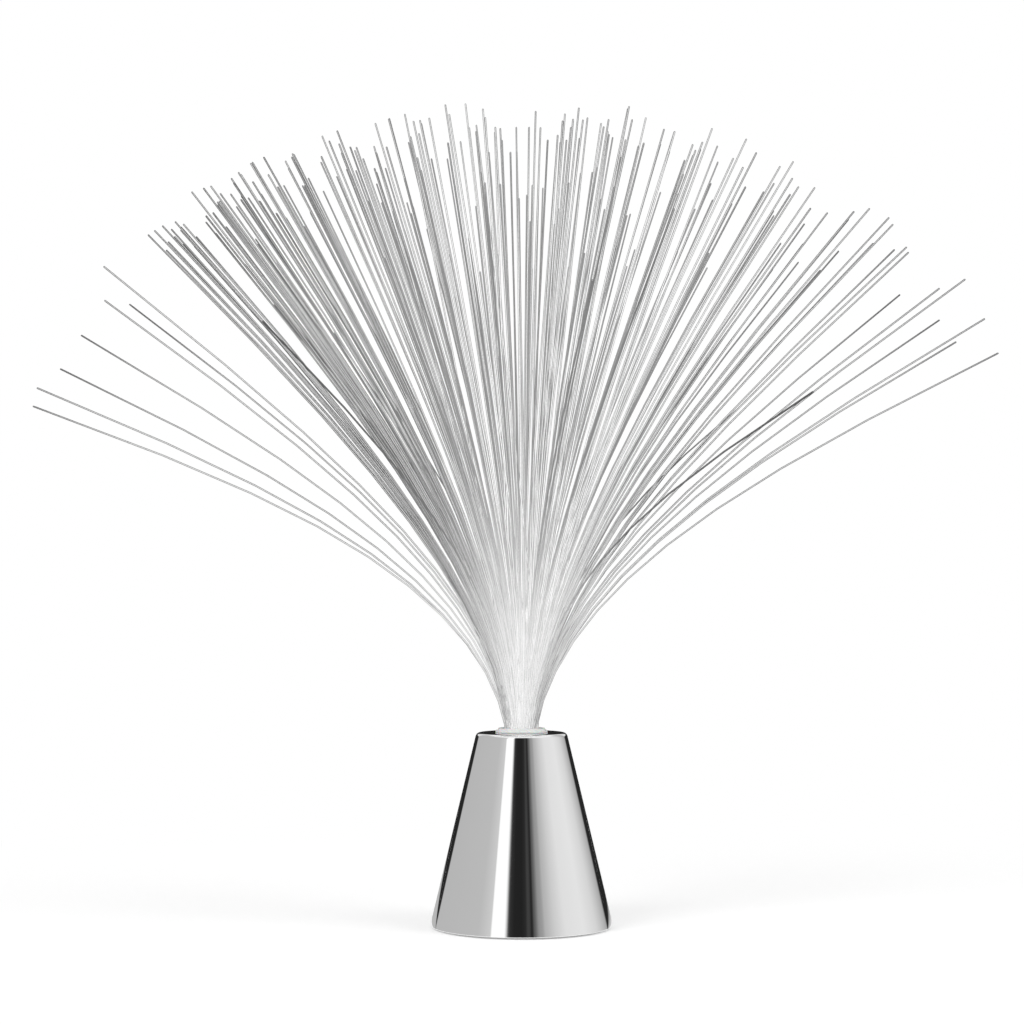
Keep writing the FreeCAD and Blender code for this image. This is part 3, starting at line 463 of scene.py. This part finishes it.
def screw(shank, length, head, height, x, y, seat, heading):
    """A screw as rings from its tip to the middle of its head. The thread's radius is shank (1 - share saw(z / pitch
    - angle)), the crown's height is height sqrt(1 - (r / head)^6), and the cross is cut from it to a depth that falls
    off along its arms."""
    t = np.arange(48) * 2 * math.pi / 48
    z = np.linspace(length, 0.2, 72)[:, None]
    saw = np.abs(2 * ((z / thread_pitch - t / (2 * math.pi)) % 1) - 1)
    taper = np.clip((length - z) / shank, 0.25, 1)
    body = shank * taper * (1 - thread_share * saw)
    rings = [np.stack([body * np.cos(t), body * np.sin(t), z + 0 * t], -1)]
    flat = np.array([shank, head * 0.93, head, head])[:, None]
    level = np.array([0.0, 0.0, -0.07, -height * 0.35])[:, None]
    rings.append(np.stack([flat * np.cos(t), flat * np.sin(t), level + 0 * t], -1))
    r = head * np.linspace(0.99, 0.02, 26)[:, None]
    px, py = r * np.cos(t), r * np.sin(t)
    crown = height * (0.35 + 0.65 * np.sqrt(1 - (r / head) ** 6))
    far = np.maximum(np.abs(px), np.abs(py)) / (recess_share * head)
    near = np.minimum(np.abs(px), np.abs(py)) / (0.16 * head)
    cut = np.clip((1.25 - near) / 0.5, 0, 1) * np.clip((1 - far) / 0.12, 0, 1) * (1 - 0.55 * np.clip(far, 0, 1))
    rings.append(np.stack([px, py, -(crown - 0.75 * height * cut)], -1))
    rings = np.vstack(rings)
    return np.stack([x + rings[..., 0], y + rings[..., 1], seat + heading * rings[..., 2]], -1)


switch_x, switch_screw_y = -25.5, 8.25
screw_sets = {
    "plate_screws": [screw(1.25, 10.0, 2.4, 1.3, plate_screw_ring * math.cos(t), plate_screw_ring * math.sin(t),
                           plate_screw_seat, 1) for t in plate_screw_angles],
    "board_screws": [screw(0.9, 8.0, 1.8, 1.0, board_screw_ring * math.cos(t), board_screw_ring * math.sin(t),
                           board_bottom, 1) for t in board_screw_angles],
    "switch_screws": [screw(0.8, 2.2, 1.6, 0.8, switch_x, side * switch_screw_y, switch_screw_seat, -1)
                      for side in (-1, 1)]}
zinc = finish("zinc_steel", (0.66, 0.67, 0.66), (0.52, 0.53, 0.52), 0.28, 0.46, cloud=300.0, grain=2400.0,
              relief=0.00001, Metallic=1.0)
for name, screws in screw_sets.items():
    dress(skin(name + "_dressed", screws, angle=math.radians(40)), zinc, "base", "zinc_steel", name)


# Cells: three AAA cells side by side in the tub, each turned about from the last. A steel can with a rolled-in seal at
# both ends and a pressed nub, in a plain printed film jacket.
cell_radius, cell_height, cell_can, cell_nub, cell_nub_radius, cell_pitch = 5.25, 10.8, 43.7, 0.8, 1.9, 10.85
cell_plus_end = 24.875 - 0.4
jacket_band, wall_inset, wall_rings = 0.7, 1.2, 12


def cell(index):
    """Rings of a cell, and for each the share of its length and whether the jacket covers it. The profile is turned
    about the cell's own axis, which lies along Y at half the tub's height."""
    corners = [(0.02, 0.0), (3.4, 0.0), (3.6, 0.25), (4.6, 0.25), (5.0, 0.0), (cell_radius, 0.35),
               (cell_radius, cell_can - 0.35), (4.9, cell_can), (4.4, cell_can - 0.5),
               (cell_nub_radius + 0.5, cell_can - 0.5), (cell_nub_radius, cell_can - 0.3),
               (cell_nub_radius, cell_can + cell_nub), (0.02, cell_can + cell_nub)]
    profile = eased(corners, [0, 0.1, 0.08, 0.1, 0.15, 0.3, 0.3, 0.15, 0.15, 0.1, 0.1, 0.25, 0], steps=5)
    extra = np.linspace(wall_inset, cell_can - wall_inset, wall_rings)
    wall_at = np.flatnonzero(np.diff(profile[:, 1]) > 30)[0] + 1
    profile = np.insert(profile, wall_at, np.stack([np.full(wall_rings, cell_radius), extra], -1), 0)
    along, r = profile[:, 1], profile[:, 0]
    facing = 1 if index != 1 else -1
    rings = turned(profile, 96)
    lie = facing * (rings[..., 2] + cell_plus_end - cell_can - cell_nub)
    placed = np.stack([(index - 1) * cell_pitch + rings[..., 0], lie, cell_height + rings[..., 1]], -1)
    jacket = (r > 4.7) & (along > 0.05) & (along < cell_can + 0.05)
    return placed, along / cell_can, jacket.astype(float)


film, nodes, links = blank_material("cell_jacket")
shader = nodes.new("ShaderNodeBsdfPrincipled")
out = nodes.new("ShaderNodeOutputMaterial")
spot, cover = nodes.new("ShaderNodeAttribute"), nodes.new("ShaderNodeAttribute")
spot.attribute_name, cover.attribute_name = "along", "jacket"
print_ramp = nodes.new("ShaderNodeValToRGB")
print_ramp.color_ramp.interpolation = "CONSTANT"
print_ramp.color_ramp.elements[0].color = (0.035, 0.042, 0.055, 1)
print_ramp.color_ramp.elements[1].position = jacket_band
print_ramp.color_ramp.elements[1].color = (0.55, 0.57, 0.60, 1)
varied = nodes.new("ShaderNodeGroup")
varied.node_tree = surface_variation
for socket, value in (("Light", (0.62, 0.61, 0.58, 1)), ("Dark", (0.45, 0.44, 0.42, 1)), ("Cloud Scale", 250.0),
                      ("Grain Scale", 1500.0), ("Smooth", 0.22), ("Rough", 0.36), ("Relief", 0.00001)):
    varied.inputs[socket].default_value = value
covered, bare = nodes.new("ShaderNodeMix"), nodes.new("ShaderNodeMath")
covered.data_type, bare.operation = "RGBA", "SUBTRACT"
bare.inputs[0].default_value = 1.0
links.new(spot.outputs["Fac"], print_ramp.inputs["Fac"])
links.new(cover.outputs["Fac"], covered.inputs["Factor"])
links.new(varied.outputs["Color"], covered.inputs["A"])
links.new(print_ramp.outputs["Color"], covered.inputs["B"])
links.new(cover.outputs["Fac"], bare.inputs[1])
links.new(covered.outputs["Result"], shader.inputs["Base Color"])
links.new(bare.outputs[0], shader.inputs["Metallic"])
links.new(varied.outputs["Roughness"], shader.inputs["Roughness"])
links.new(varied.outputs["Normal"], shader.inputs["Normal"])
links.new(shader.outputs[0], out.inputs["Surface"])
for index in range(3):
    rings, along, jacket = cell(index)
    piece = skin("cell_%d_dressed" % (index + 1), [rings], angle=math.radians(50))
    for name, values in (("along", along), ("jacket", jacket)):
        spread = np.repeat(values, rings.shape[1]).astype(np.float32)
        piece.data.attributes.new(name, "FLOAT", "POINT").data.foreach_set("value", spread)
    dress(piece, film, "base", "cell_jacket", "cell_%d" % (index + 1))


# Contacts: nickel-plated spring steel strip, stamped and pushed into the ends of the tub. Bowed leaves press on the
# cells' flat ends, and two tails go up through the roof to the wires.
nickel = finish("contact_spring_steel", (0.72, 0.70, 0.66), (0.60, 0.58, 0.54), 0.2, 0.38, cloud=180.0, grain=1900.0,
                relief=0.00001, Metallic=1.0)
paint(nickel, "plus_contact", "minus_contact", "front_bridge", "rear_bridge")


# Slide switch: a moulded black body on a stamped zinc-plated frame, which two screws hold to the floor plate. Its
# ribbed knob comes out through the plate and slides with the switch_slider body.
switch_plastic = finish("switch_plastic", grey(0.045), grey(0.03), 0.34, 0.5, cloud=240.0, grain=3000.0,
                        relief=0.00001)
paint(zinc, "switch_frame")
paint(switch_plastic, "switch_body", "switch_knob")


# Light board: glass-fibre laminate with green lacquer, on two bosses under the socket. The chip on it, in black
# moulded resin, fades the three lamps.
laminate = finish("board_laminate", (0.045, 0.17, 0.07), (0.025, 0.11, 0.045), 0.28, 0.42, cloud=260.0, grain=1200.0,
                  relief=0.00003, Coat_Weight=0.4)
resin = finish("chip_resin", grey(0.03), grey(0.018), 0.45, 0.62, cloud=500.0, grain=3500.0, relief=0.00001)
paint(laminate, "light_board")
paint(resin, "control_chip")


# Lamps: three 5 mm lamps of tinted clear resin, red, green and blue, each with a rim, a domed end and two tinned leads
# soldered into the board.
lamp_radius, lamp_foot, lamp_top, lamp_rim, lamp_rim_height, lamp_ring = 2.5, 46.4, 53.9, 2.85, 1.0, 3.7
lead_half_pitch, lead_radius, lead_low = 1.27, 0.28, 43.0
lamp_angles = np.radians(30 + 120 * np.arange(3))
dome_turns = np.radians(np.linspace(0, 88, 12))
lamp_profile = np.vstack([
    eased([(0.05, lamp_foot), (lamp_rim, lamp_foot), (lamp_rim, lamp_foot + lamp_rim_height),
           (lamp_radius, lamp_foot + lamp_rim_height)], [0, 0.15, 0.15, 0], steps=4),
    np.stack([lamp_radius * np.cos(dome_turns), lamp_top - lamp_radius + lamp_radius * np.sin(dome_turns)], -1)])
tints = {"red": (0.86, 0.10, 0.07), "green": (0.10, 0.72, 0.16), "blue": (0.10, 0.22, 0.86)}
for (colour, tint), t in zip(tints.items(), lamp_angles):
    lens = skin("lamp_" + colour, [turned(lamp_profile, 48, lamp_ring * math.cos(t), lamp_ring * math.sin(t))])
    resin_clear = finish(colour + "_lens", tint, tuple(0.85 * c for c in tint), 0.03, 0.10, cloud=300.0, grain=900.0,
                         IOR=1.5, Transmission_Weight=0.85)
    dress(lens, resin_clear, "base", colour + "_lens", "led_" + colour)
leads = skin("lamp_leads", [turned([(lead_radius, lead_low), (lead_radius, lamp_foot + 1.5)], 10,
                                   lamp_ring * math.cos(t) + side * lead_half_pitch, lamp_ring * math.sin(t))
                            for t in lamp_angles for side in (-1, 1)], angle=math.radians(50))
dress(leads, nickel, "base", "contact_spring_steel", "led_red", "led_green", "led_blue")


# Resistors: one for each lamp, a ceramic rod dipped in buff lacquer with colour rings. They lie under the board on
# their bent leads, which are soldered into it.
resistor_half, resistor_thick, resistor_thin, resistor_level, resistor_span = 3.15, 1.15, 0.98, 42.95, 5.0
resistor_lead_radius = 0.27
resistor_places = ((-8.5, 3.0, 90.0), (8.5, 3.0, 90.0), (0.0, -7.4, 0.0))


def swung(rings, x, y, degrees):
    """Rings turned about the upright axis and moved: (x + a cos - b sin, y + a sin + b cos)."""
    c, s = math.cos(math.radians(degrees)), math.sin(math.radians(degrees))
    a, b = rings[..., 0], rings[..., 1]
    return np.stack([x + a * c - b * s, y + a * s + b * c, rings[..., 2]], -1)


def tube(points, radius, sides=12):
    """Rings of a tube on a smooth line along a run of points: the quadratic spline (1-u)^2/2 A + (1/2 + u - u^2) B +
    u^2/2 C over each three of them. The line runs on past each end point by half its last stretch. Each ring is
    square to the line."""
    p = np.array(points, float)
    p = np.vstack([2 * p[0] - p[1], p, 2 * p[-1] - p[-2]])
    u = np.linspace(0, 1, 9)[None, :, None]
    a, b, c = p[:-2, None], p[1:-1, None], p[2:, None]
    line = ((1 - u) ** 2 / 2 * a + (0.5 + u - u * u) * b + u * u / 2 * c).reshape(-1, 3)
    line = line[np.append(True, np.linalg.norm(np.diff(line, axis=0), axis=1) > 1e-6)]
    way = np.gradient(line, axis=0)
    way /= np.linalg.norm(way, axis=1)[:, None]
    side = np.cross(way, np.array([0.37, 0.91, 0.19]))
    side /= np.linalg.norm(side, axis=1)[:, None]
    over = np.cross(side, way)
    t = np.arange(sides) * 2 * math.pi / sides
    ring = np.cos(t)[None, :, None] * side[:, None] + np.sin(t)[None, :, None] * over[:, None]
    return line[:, None] + radius * ring


swell = np.linspace(-1, 1, 33)
resistor_profile = np.stack([
    np.where(np.abs(swell) > 0.62, resistor_thick, resistor_thin) * np.sqrt(np.clip(1.0001 - swell ** 14, 0.02, 1)),
    resistor_half * swell], -1)
bodies, bent = [], []
for x, y, turn in resistor_places:
    rings = turned(resistor_profile, 28)
    rings = np.stack([rings[..., 2], rings[..., 1], resistor_level + rings[..., 0]], -1)
    bodies.append(swung(rings, x, y, turn))
    for side in (-1, 1):
        route = [(side * 2.6, 0, resistor_level), (side * 4.2, 0, resistor_level),
                 (side * resistor_span, 0, resistor_level), (side * resistor_span, 0, resistor_level + 0.8),
                 (side * resistor_span, 0, board_bottom)]
        bent.append(swung(tube(route, resistor_lead_radius, 10), x, y, turn))
resistors = skin("resistor_bodies", bodies, angle=math.radians(60))
values = np.tile(np.repeat((swell + 1) / 2, 28), 3).astype(np.float32)
resistors.data.attributes.new("along", "FLOAT", "POINT").data.foreach_set("value", values)
lacquer, nodes, links = blank_material("resistor_lacquer")
shader = nodes.new("ShaderNodeBsdfPrincipled")
out = nodes.new("ShaderNodeOutputMaterial")
spot = nodes.new("ShaderNodeAttribute")
spot.attribute_name = "along"
bands = nodes.new("ShaderNodeValToRGB")
bands.color_ramp.interpolation = "CONSTANT"
buff = (0.56, 0.42, 0.24, 1)
bands.color_ramp.elements[0].color = buff
bands.color_ramp.elements[1].position = 0.16
bands.color_ramp.elements[1].color = (0.16, 0.06, 0.02, 1)
for where, colour in ((0.24, buff), (0.36, (0.01, 0.01, 0.01, 1)), (0.43, buff), (0.52, (0.16, 0.06, 0.02, 1)),
                      (0.59, buff), (0.76, (0.55, 0.36, 0.08, 1)), (0.84, buff)):
    bands.color_ramp.elements.new(where).color = colour
varied = nodes.new("ShaderNodeGroup")
varied.node_tree = surface_variation
for socket, value in (("Cloud Scale", 600.0), ("Grain Scale", 2000.0), ("Smooth", 0.25), ("Rough", 0.4),
                      ("Relief", 0.00001)):
    varied.inputs[socket].default_value = value
links.new(spot.outputs["Fac"], bands.inputs["Fac"])
links.new(bands.outputs["Color"], shader.inputs["Base Color"])
links.new(varied.outputs["Roughness"], shader.inputs["Roughness"])
links.new(varied.outputs["Normal"], shader.inputs["Normal"])
links.new(shader.outputs[0], out.inputs["Surface"])
dress(resistors, lacquer, "base", "resistor_lacquer", "resistors")
dress(skin("resistor_leads", bent), nickel, "base", "contact_spring_steel", "resistors")


# Wires: stranded copper in PVC, from the cells' plus tail to the switch, from the switch to the board and from the
# minus tail to the board. Both ends of each are soldered, and all lie inside the cone.
wire_radius, tail_top, lug_top, lug_pitch = 0.65, 21.9, 14.5, 3.0
wire_rise, loop_rise, pad_x, pad_y = 9.5, 2.0, 6.0, -9.5
plus_tail, minus_tail = (-10.85, 24.675), (10.85, -24.675)
wire_routes = {
    "wire_plus": ("red_insulation", (0.62, 0.03, 0.025),
                  [(*plus_tail, tail_top), (*plus_tail, tail_top + wire_rise), (-20.4, 15.3, tail_top + wire_rise),
                   (switch_x, lug_pitch, lug_top + wire_rise + loop_rise), (switch_x, lug_pitch, lug_top)]),
    "wire_switched": ("white_insulation", (0.80, 0.80, 0.78),
                      [(switch_x, -lug_pitch, lug_top), (switch_x, -lug_pitch, lug_top + wire_rise),
                       (-pad_x, pad_y, board_bottom - wire_rise), (-pad_x, pad_y, board_bottom)]),
    "wire_minus": ("black_insulation", (0.022, 0.022, 0.022),
                   [(*minus_tail, tail_top), (*minus_tail, tail_top + wire_rise),
                    (pad_x, pad_y, board_bottom - wire_rise), (pad_x, pad_y, board_bottom)])}
for name, (slot, colour, route) in wire_routes.items():
    insulation = finish(slot, colour, tuple(0.85 * c for c in colour), 0.32, 0.46, cloud=300.0, grain=1500.0,
                        relief=0.00001)
    dress(skin(name + "_dressed", [tube(route, wire_radius, 16)]), insulation, "base", slot, name)


# Collar: a white translucent moulding that is glued round the fibre bundle. Its two-step flange lies on the deck
# and its sleeve plugs into the socket.
sleeve_radius, collar_bottom = 9.1, 58.5
flange_radius, flange_top = 11.45, 86.0
step_radius, collar_top = 10.3, 86.9
bore_radius, mouth_radius, tube_top = 8.2, 7.7, 85.8
collar_profile = eased(
    [(sleeve_radius, collar_bottom), (sleeve_radius, deck_height), (flange_radius, deck_height),
     (flange_radius, flange_top), (step_radius, flange_top), (step_radius, collar_top), (mouth_radius, collar_top),
     (mouth_radius, tube_top + 0.1), (bore_radius, tube_top + 0.1), (bore_radius, collar_bottom)],
    [0.3, 0.1, 0.25, 0.35, 0.15, 0.35, 0.25, 0, 0, 0.1], steps=6)
collar = skin("collar", [turned(collar_profile, 160)], loop=True)
milky = finish("milky_plastic", (0.93, 0.93, 0.92), (0.89, 0.89, 0.88), 0.22, 0.34, cloud=90.0, grain=700.0,
               Subsurface_Weight=0.25, Subsurface_Scale=0.002)
dress(collar, milky, "spray", "milky_plastic", "collar")


# Bundle tube: thin drawn aluminium, crimped round the fibres' lower ends and hidden in the collar.
tube_outer, tube_inner, tube_bottom = 8.1, 7.7, 57.0
tube_profile = eased([(tube_outer, tube_bottom), (tube_outer, tube_top), (tube_inner, tube_top),
                      (tube_inner, tube_bottom)], [0.1, 0.1, 0.1, 0.1], steps=4)
bundle_tube = skin("bundle_tube", [turned(tube_profile, 128)], loop=True)
aluminium = finish("tube_aluminium", grey(0.80), grey(0.72), 0.18, 0.34, cloud=120.0, grain=1500.0,
                   relief=0.00001, Metallic=1.0)
dress(bundle_tube, aluminium, "spray", "tube_aluminium", "bundle_tube")


# Fibres: clear acrylic light guides, 0.75 mm thick, packed and glued in the tube and polished at both ends.
# Each leaves the collar, leans over in one upright plane and runs out nearly straight to its cut tip. The first
# 210 are the frame's own, and the rest lie between them.
fibre_count, between_count = 210, 100
fibre_diameter = 0.75
bundle_radius = 7.6
neck_height = 20.0
fibre_length, length_spread = 267.0, 0.025
bend_length, start_share = 70.0, 0.15
bulk_share, bulk_lean, bulk_evenness, bulk_shift = 0.87, 33.0, 1.6, -1.5
between_lean, between_evenness, between_shift, between_spread = 27.0, 1.3, -9.0, 3.0
right_thinning, lean_spread, stray_lean = 0.14, 2.6, 58.0
side_sector, side_depth = 55.0, 0.35
left_leans = (57.0, 54.5, 51.0, 48.5, 44.0, 42.5, 39.0, 37.5, 36.0)
right_leans = (51.5, 48.5, 47.5, 44.5, 42.5, 40.0, 38.5, 37.0, 36.0)
lean_to_tangent = 1.26
fibre_clearance, sample_step, aim_tries, aim_widening = 0.5, 8.0, 150, 3.0
golden_turn = math.pi * (3 - math.sqrt(5))
fibre_side = fibre_diameter * math.sqrt(math.pi) / 2
root_ring = bundle_radius - fibre_diameter / 2
path_step = 1.0
path_count = math.ceil(fibre_length * (1 + length_spread) / path_step) + 2
path_stops = np.arange(path_count + 1) * path_step
fibre_sides, bend_rings = 5, 10
fibre_reach = fibre_diameter * math.pi / (2 * fibre_sides * math.sin(math.pi / fibre_sides))
tip_ease, tip_share, side_spread = 0.3, 0.6, 0.4
painted_glow_stops, painted_glow_levels = (0.0, 0.08, 0.18, 0.30, 0.45, 0.75, 1.0), (0.130, 0.130, 0.172, 0.21, 0.245, 0.19, 0.13)
painted_edge_shade_stops, painted_edge_shade_levels = (0.0, 0.08, 0.18, 0.30, 0.45, 1.0), (0.80, 0.80, 0.60, 0.30, 0.07, 0.06)


def scatter(index, kind):
    """An even random number from -1 to 1 that depends only on a fibre's number and the use made of it."""
    wave = math.sin(index * 12.9898 + kind * 78.233) * 43758.5453
    return 2 * (wave - math.floor(wave)) - 1


def spiral(numbers, count, ring):
    """Evenly spread points in a disc: point n is at ring sqrt((n + 1/2) / count) and angle n times the golden turn."""
    n = np.array(numbers, float)
    r, t = ring * np.sqrt((n + 0.5) / count), n * golden_turn
    return np.stack([r * np.cos(t), r * np.sin(t)], -1)


def side_leans():
    """The leans of the strays that stand out at the left and right, the furthest out for the sidemost."""
    chosen = {}
    for side, leans in ((-1, left_leans), (1, right_leans)):
        strays = range(math.ceil(bulk_share * fibre_count), fibre_count)
        sideways = [(side * math.cos(i * golden_turn), i) for i in strays]
        sideways = sorted((c, i) for c, i in sideways if c > math.cos(math.radians(side_sector)))
        for (_, i), lean in zip(reversed(sideways), leans):
            chosen[i] = side * lean
    return chosen


stray_sides = side_leans()


def cone_lean(edge, share, evenness):
    """A lean in degrees inside a cone of half-angle edge: atan(tan edge sqrt(1 - (1 - share)^evenness))."""
    return math.degrees(math.atan(math.tan(math.radians(edge)) * math.sqrt(1 - (1 - share) ** evenness)))


def heading_and_lean(across, deep):
    """The heading of a fibre and the lean of its far end, in radians, for leans to the right and to the back."""
    return math.atan2(deep, across), math.radians(lean_to_tangent * math.hypot(across, deep))


def aim(index, attempt, spread):
    """A frame fibre's heading and lean. Most lie in a cone, a few stray out of it."""
    share = (index + 0.5) / fibre_count
    azimuth = index * golden_turn
    within = min(1.0, share / bulk_share)
    beyond = max(0.0, (share - bulk_share) / (1 - bulk_share))
    lean = cone_lean(bulk_lean, within, bulk_evenness)
    lean += (stray_lean - bulk_lean) * beyond
    lean *= 1 + right_thinning * max(0.0, math.cos(azimuth)) * within * (1 - beyond)
    across = lean * math.cos(azimuth) + bulk_shift * (1 - beyond)
    deep = lean * math.sin(azimuth)
    if index in stray_sides:
        across = stray_sides[index]
        deep *= side_depth
        spread *= side_spread
    across += lean_spread * spread * scatter(index, 3 * attempt)
    deep += lean_spread * spread * scatter(index, 3 * attempt + 1)
    return heading_and_lean(across, deep)


def fibre_points(root, heading, full, s):
    """Points and directions at distances s along a fibre, whose lean at s is full (1 - (1 - start) exp(-s / bend)).
    Its run and height are sums of the sine and cosine of its lean at the middle of each millimetre, and it lies in
    the upright plane of its heading through its root."""
    lean = full * (1 - (1 - start_share) * np.exp(-(np.arange(path_count) + 0.5) * path_step / bend_length))
    run = np.interp(s, path_stops, np.append(0.0, np.cumsum(np.sin(lean))) * path_step)
    height = np.interp(s, path_stops, np.append(0.0, np.cumsum(np.cos(lean))) * path_step)
    c, d = math.cos(heading), math.sin(heading)
    here = full * (1 - (1 - start_share) * np.exp(-s / bend_length))
    points = np.stack([root[0] + run * c, root[1] + run * d, collar_top + height], -1)
    return points, np.stack([np.sin(here) * c, np.sin(here) * d, np.cos(here)], -1)


def plan_fibres():
    """Every fibre's wanted root, heading, lean and length. The frame's are each aimed afresh until they stay clear of
    those before: the distance between two at each stop is taken square to the earlier one."""
    stops = np.arange(neck_height, fibre_length, sample_step)
    placed = np.zeros((fibre_count, len(stops), 3))
    ways = np.zeros((fibre_count, len(stops), 3))
    plan = []
    for index, root in enumerate(spiral(range(fibre_count), fibre_count, root_ring)):
        for attempt in range(aim_tries):
            heading, full = aim(index, attempt, 1 + aim_widening * attempt / aim_tries)
            points, way = fibre_points(root, heading, full, stops)
            gap = points - placed[:index]
            along = np.sum(gap * ways[:index], -1)
            apart = np.sum(gap * gap, -1) - along ** 2
            if index == 0 or apart.min() >= (fibre_side + fibre_clearance) ** 2:
                break
        placed[index], ways[index] = points, way
        plan.append((root, heading, full, fibre_length * (1 + length_spread * scatter(index, 3 * attempt + 2))))
    for index, root in enumerate(spiral(np.arange(between_count) + 0.5, between_count, root_ring)):
        lean = cone_lean(between_lean, (index + 0.5) / between_count, between_evenness)
        azimuth = (index + 0.5) * golden_turn
        across = lean * math.cos(azimuth) + between_shift + between_spread * scatter(index, 501)
        deep = lean * math.sin(azimuth) + between_spread * scatter(index, 502)
        plan.append((root, *heading_and_lean(across, deep), fibre_length * (1 + length_spread * scatter(index, 503))))
    return plan


def packed_roots(wanted):
    """Places for all the lower ends side by side: an even spiral of as many points, of which each fibre, from the
    outside inwards, takes the free one nearest to its wanted root."""
    free = spiral(range(len(wanted)), len(wanted), root_ring)
    taken = np.zeros(wanted.shape)
    for index in np.argsort(-np.hypot(wanted[:, 0], wanted[:, 1]), kind="stable"):
        nearest = np.argmin(np.sum((free - wanted[index]) ** 2, -1))
        taken[index] = free[nearest]
        free[nearest] = 1e6
    return taken


def fibre_rings(root, heading, full, length):
    """Rings of one fibre, and how far along each is: straight up the tube, then at -2 bend ln(1 - k (1 - exp(-length
    / 2 bend))), k from 0 to 1, which are closer where it bends more, and a last ring, drawn in, at the tip. Each ring
    is a pentagon square to the fibre."""
    k = np.linspace(0, 1, bend_rings + 1)
    s = -2 * bend_length * np.log(1 - k * (1 - np.exp(-(length - tip_ease) / (2 * bend_length))))
    s = np.append(s, length)
    points, ways = fibre_points(root, heading, full, s)
    points = np.vstack([[(root[0], root[1], tube_bottom)], points])
    ways = np.vstack([[(0, 0, 1)], ways])
    radius = np.full(len(points), fibre_reach)
    radius[-1] *= tip_share
    side = np.array([-math.sin(heading), math.cos(heading), 0.0])
    over = np.cross(side, ways)
    t = (np.arange(fibre_sides) + 0.5) * 2 * math.pi / fibre_sides
    ring = np.cos(t)[None, :, None] * side + np.sin(t)[None, :, None] * over[:, None]
    return points[:, None] + radius[:, None, None] * ring, np.append(0, s) / length


fibre_plan = plan_fibres()
roots = packed_roots(np.array([root for root, *_ in fibre_plan]))
grown = [fibre_rings(root, *each) for root, (_, *each) in zip(roots, fibre_plan)]
fibres = skin("fibres", [rings for rings, _ in grown], angle=math.radians(75))
along = np.concatenate([np.repeat(share, fibre_sides) for _, share in grown])
each = [share.size * fibre_sides for _, share in grown]
strand = np.repeat([0.5 + 0.5 * scatter(i, 1001) for i in range(len(grown))], each)
across = np.repeat([math.degrees(full) * math.cos(way) / lean_to_tangent for _, way, full, _ in fibre_plan], each)
# Painted light: the glow attribute is emission that stands in for light the rods catch from one another. It rises from
# the collar to about halfway along and fades to the tip, is weaker for rods that lean far out, and differs a little
# from strand to strand.
free = np.interp(along, (0.08, 0.4), (0, 1))
outer = np.interp(np.abs(across), (24, 36), (0, 1))
inside = (1 - free * np.interp(np.abs(across), (16, 36), (0, 0.88))) * (1 - 0.4 * outer)
# Painted shade: rods that lean to the left get less of the painted glow away from the collar.
painted_left_shade = 1 - 0.35 * free * np.interp(-across, (8, 22), (0, 1))
varied = 1 + (0.08 + 0.22 * free) * (2 * strand - 1)
glow = np.interp(along, painted_glow_stops, painted_glow_levels) * inside * painted_left_shade * varied
# Painted shade: the edge attribute sets how dark the rods' edges are painted, pale near the collar, dark from about
# halfway along, and darker for the strays at the sides.
edge = np.interp(along, painted_edge_shade_stops, painted_edge_shade_levels) * (1 - 0.45 * outer)
for name, values in (("glow", glow), ("edge", edge), ("strand", strand)):
    fibres.data.attributes.new(name, "FLOAT", "POINT").data.foreach_set("value", values.astype(np.float32))

# The rods are clear through the middle and painted dark along both edges, a painted shade in the base colour for the
# darker room that their edges bend into view. Those inside the spray get painted light, an emitted glow for the light
# they pick up from the others all round, and their painted edge shade is paler, most of all near the collar; the strays
# at its sides are painted darkest.
clear_acrylic, nodes, links = blank_material("clear_acrylic")
shader = nodes.new("ShaderNodeBsdfPrincipled")
out = nodes.new("ShaderNodeOutputMaterial")
shader.inputs["IOR"].default_value = 1.49
shader.inputs["Transmission Weight"].default_value = 0.9
shader.inputs["Emission Strength"].default_value = 1.0
facing = nodes.new("ShaderNodeLayerWeight")
facing.inputs["Blend"].default_value = 0.5
middle, clear, painted_glow_middle, rough = [nodes.new("ShaderNodeMapRange") for _ in range(4)]
for ramp, low, high, at_low, at_high in ((middle, 0.02, 0.18, 1.0, 0.0), (clear, 0.0, 1.0, 0.86, 1.0),
                                         (painted_glow_middle, 0.0, 1.0, 0.7, 1.0), (rough, 0.0, 1.0, 0.02, 0.10)):
    for socket, value in (("From Min", low), ("From Max", high), ("To Min", at_low), ("To Max", at_high)):
        ramp.inputs[socket].default_value = value
middle.interpolation_type = "SMOOTHSTEP"
held, rim, which = [nodes.new("ShaderNodeAttribute") for _ in range(3)]
held.attribute_name, rim.attribute_name, which.attribute_name = "glow", "edge", "strand"
tone, light = nodes.new("ShaderNodeMix"), nodes.new("ShaderNodeMath")
tone.data_type, light.operation = "RGBA", "MULTIPLY"
links.new(facing.outputs["Facing"], middle.inputs["Value"])
links.new(which.outputs["Fac"], clear.inputs["Value"])
links.new(which.outputs["Fac"], rough.inputs["Value"])
links.new(middle.outputs["Result"], painted_glow_middle.inputs["Value"])
# Painted shade: the base colour runs from the clear middle to the painted edge shade as the surface turns from the
# view.
links.new(middle.outputs["Result"], tone.inputs["Factor"])
links.new(rim.outputs["Fac"], tone.inputs["A"])
links.new(clear.outputs["Result"], tone.inputs["B"])
# Painted light: the emission is the painted glow, somewhat weaker at the rods' edges than through their middle.
links.new(painted_glow_middle.outputs["Result"], light.inputs[0])
links.new(held.outputs["Fac"], light.inputs[1])
links.new(tone.outputs["Result"], shader.inputs["Base Color"])
links.new(light.outputs[0], shader.inputs["Emission Color"])
links.new(rough.outputs["Result"], shader.inputs["Roughness"])
links.new(shader.outputs[0], out.inputs["Surface"])
dress(fibres, clear_acrylic, "spray", "clear_acrylic", "bundle_core", "fibres_inner", "fibres_middle",
      "fibres_outer")
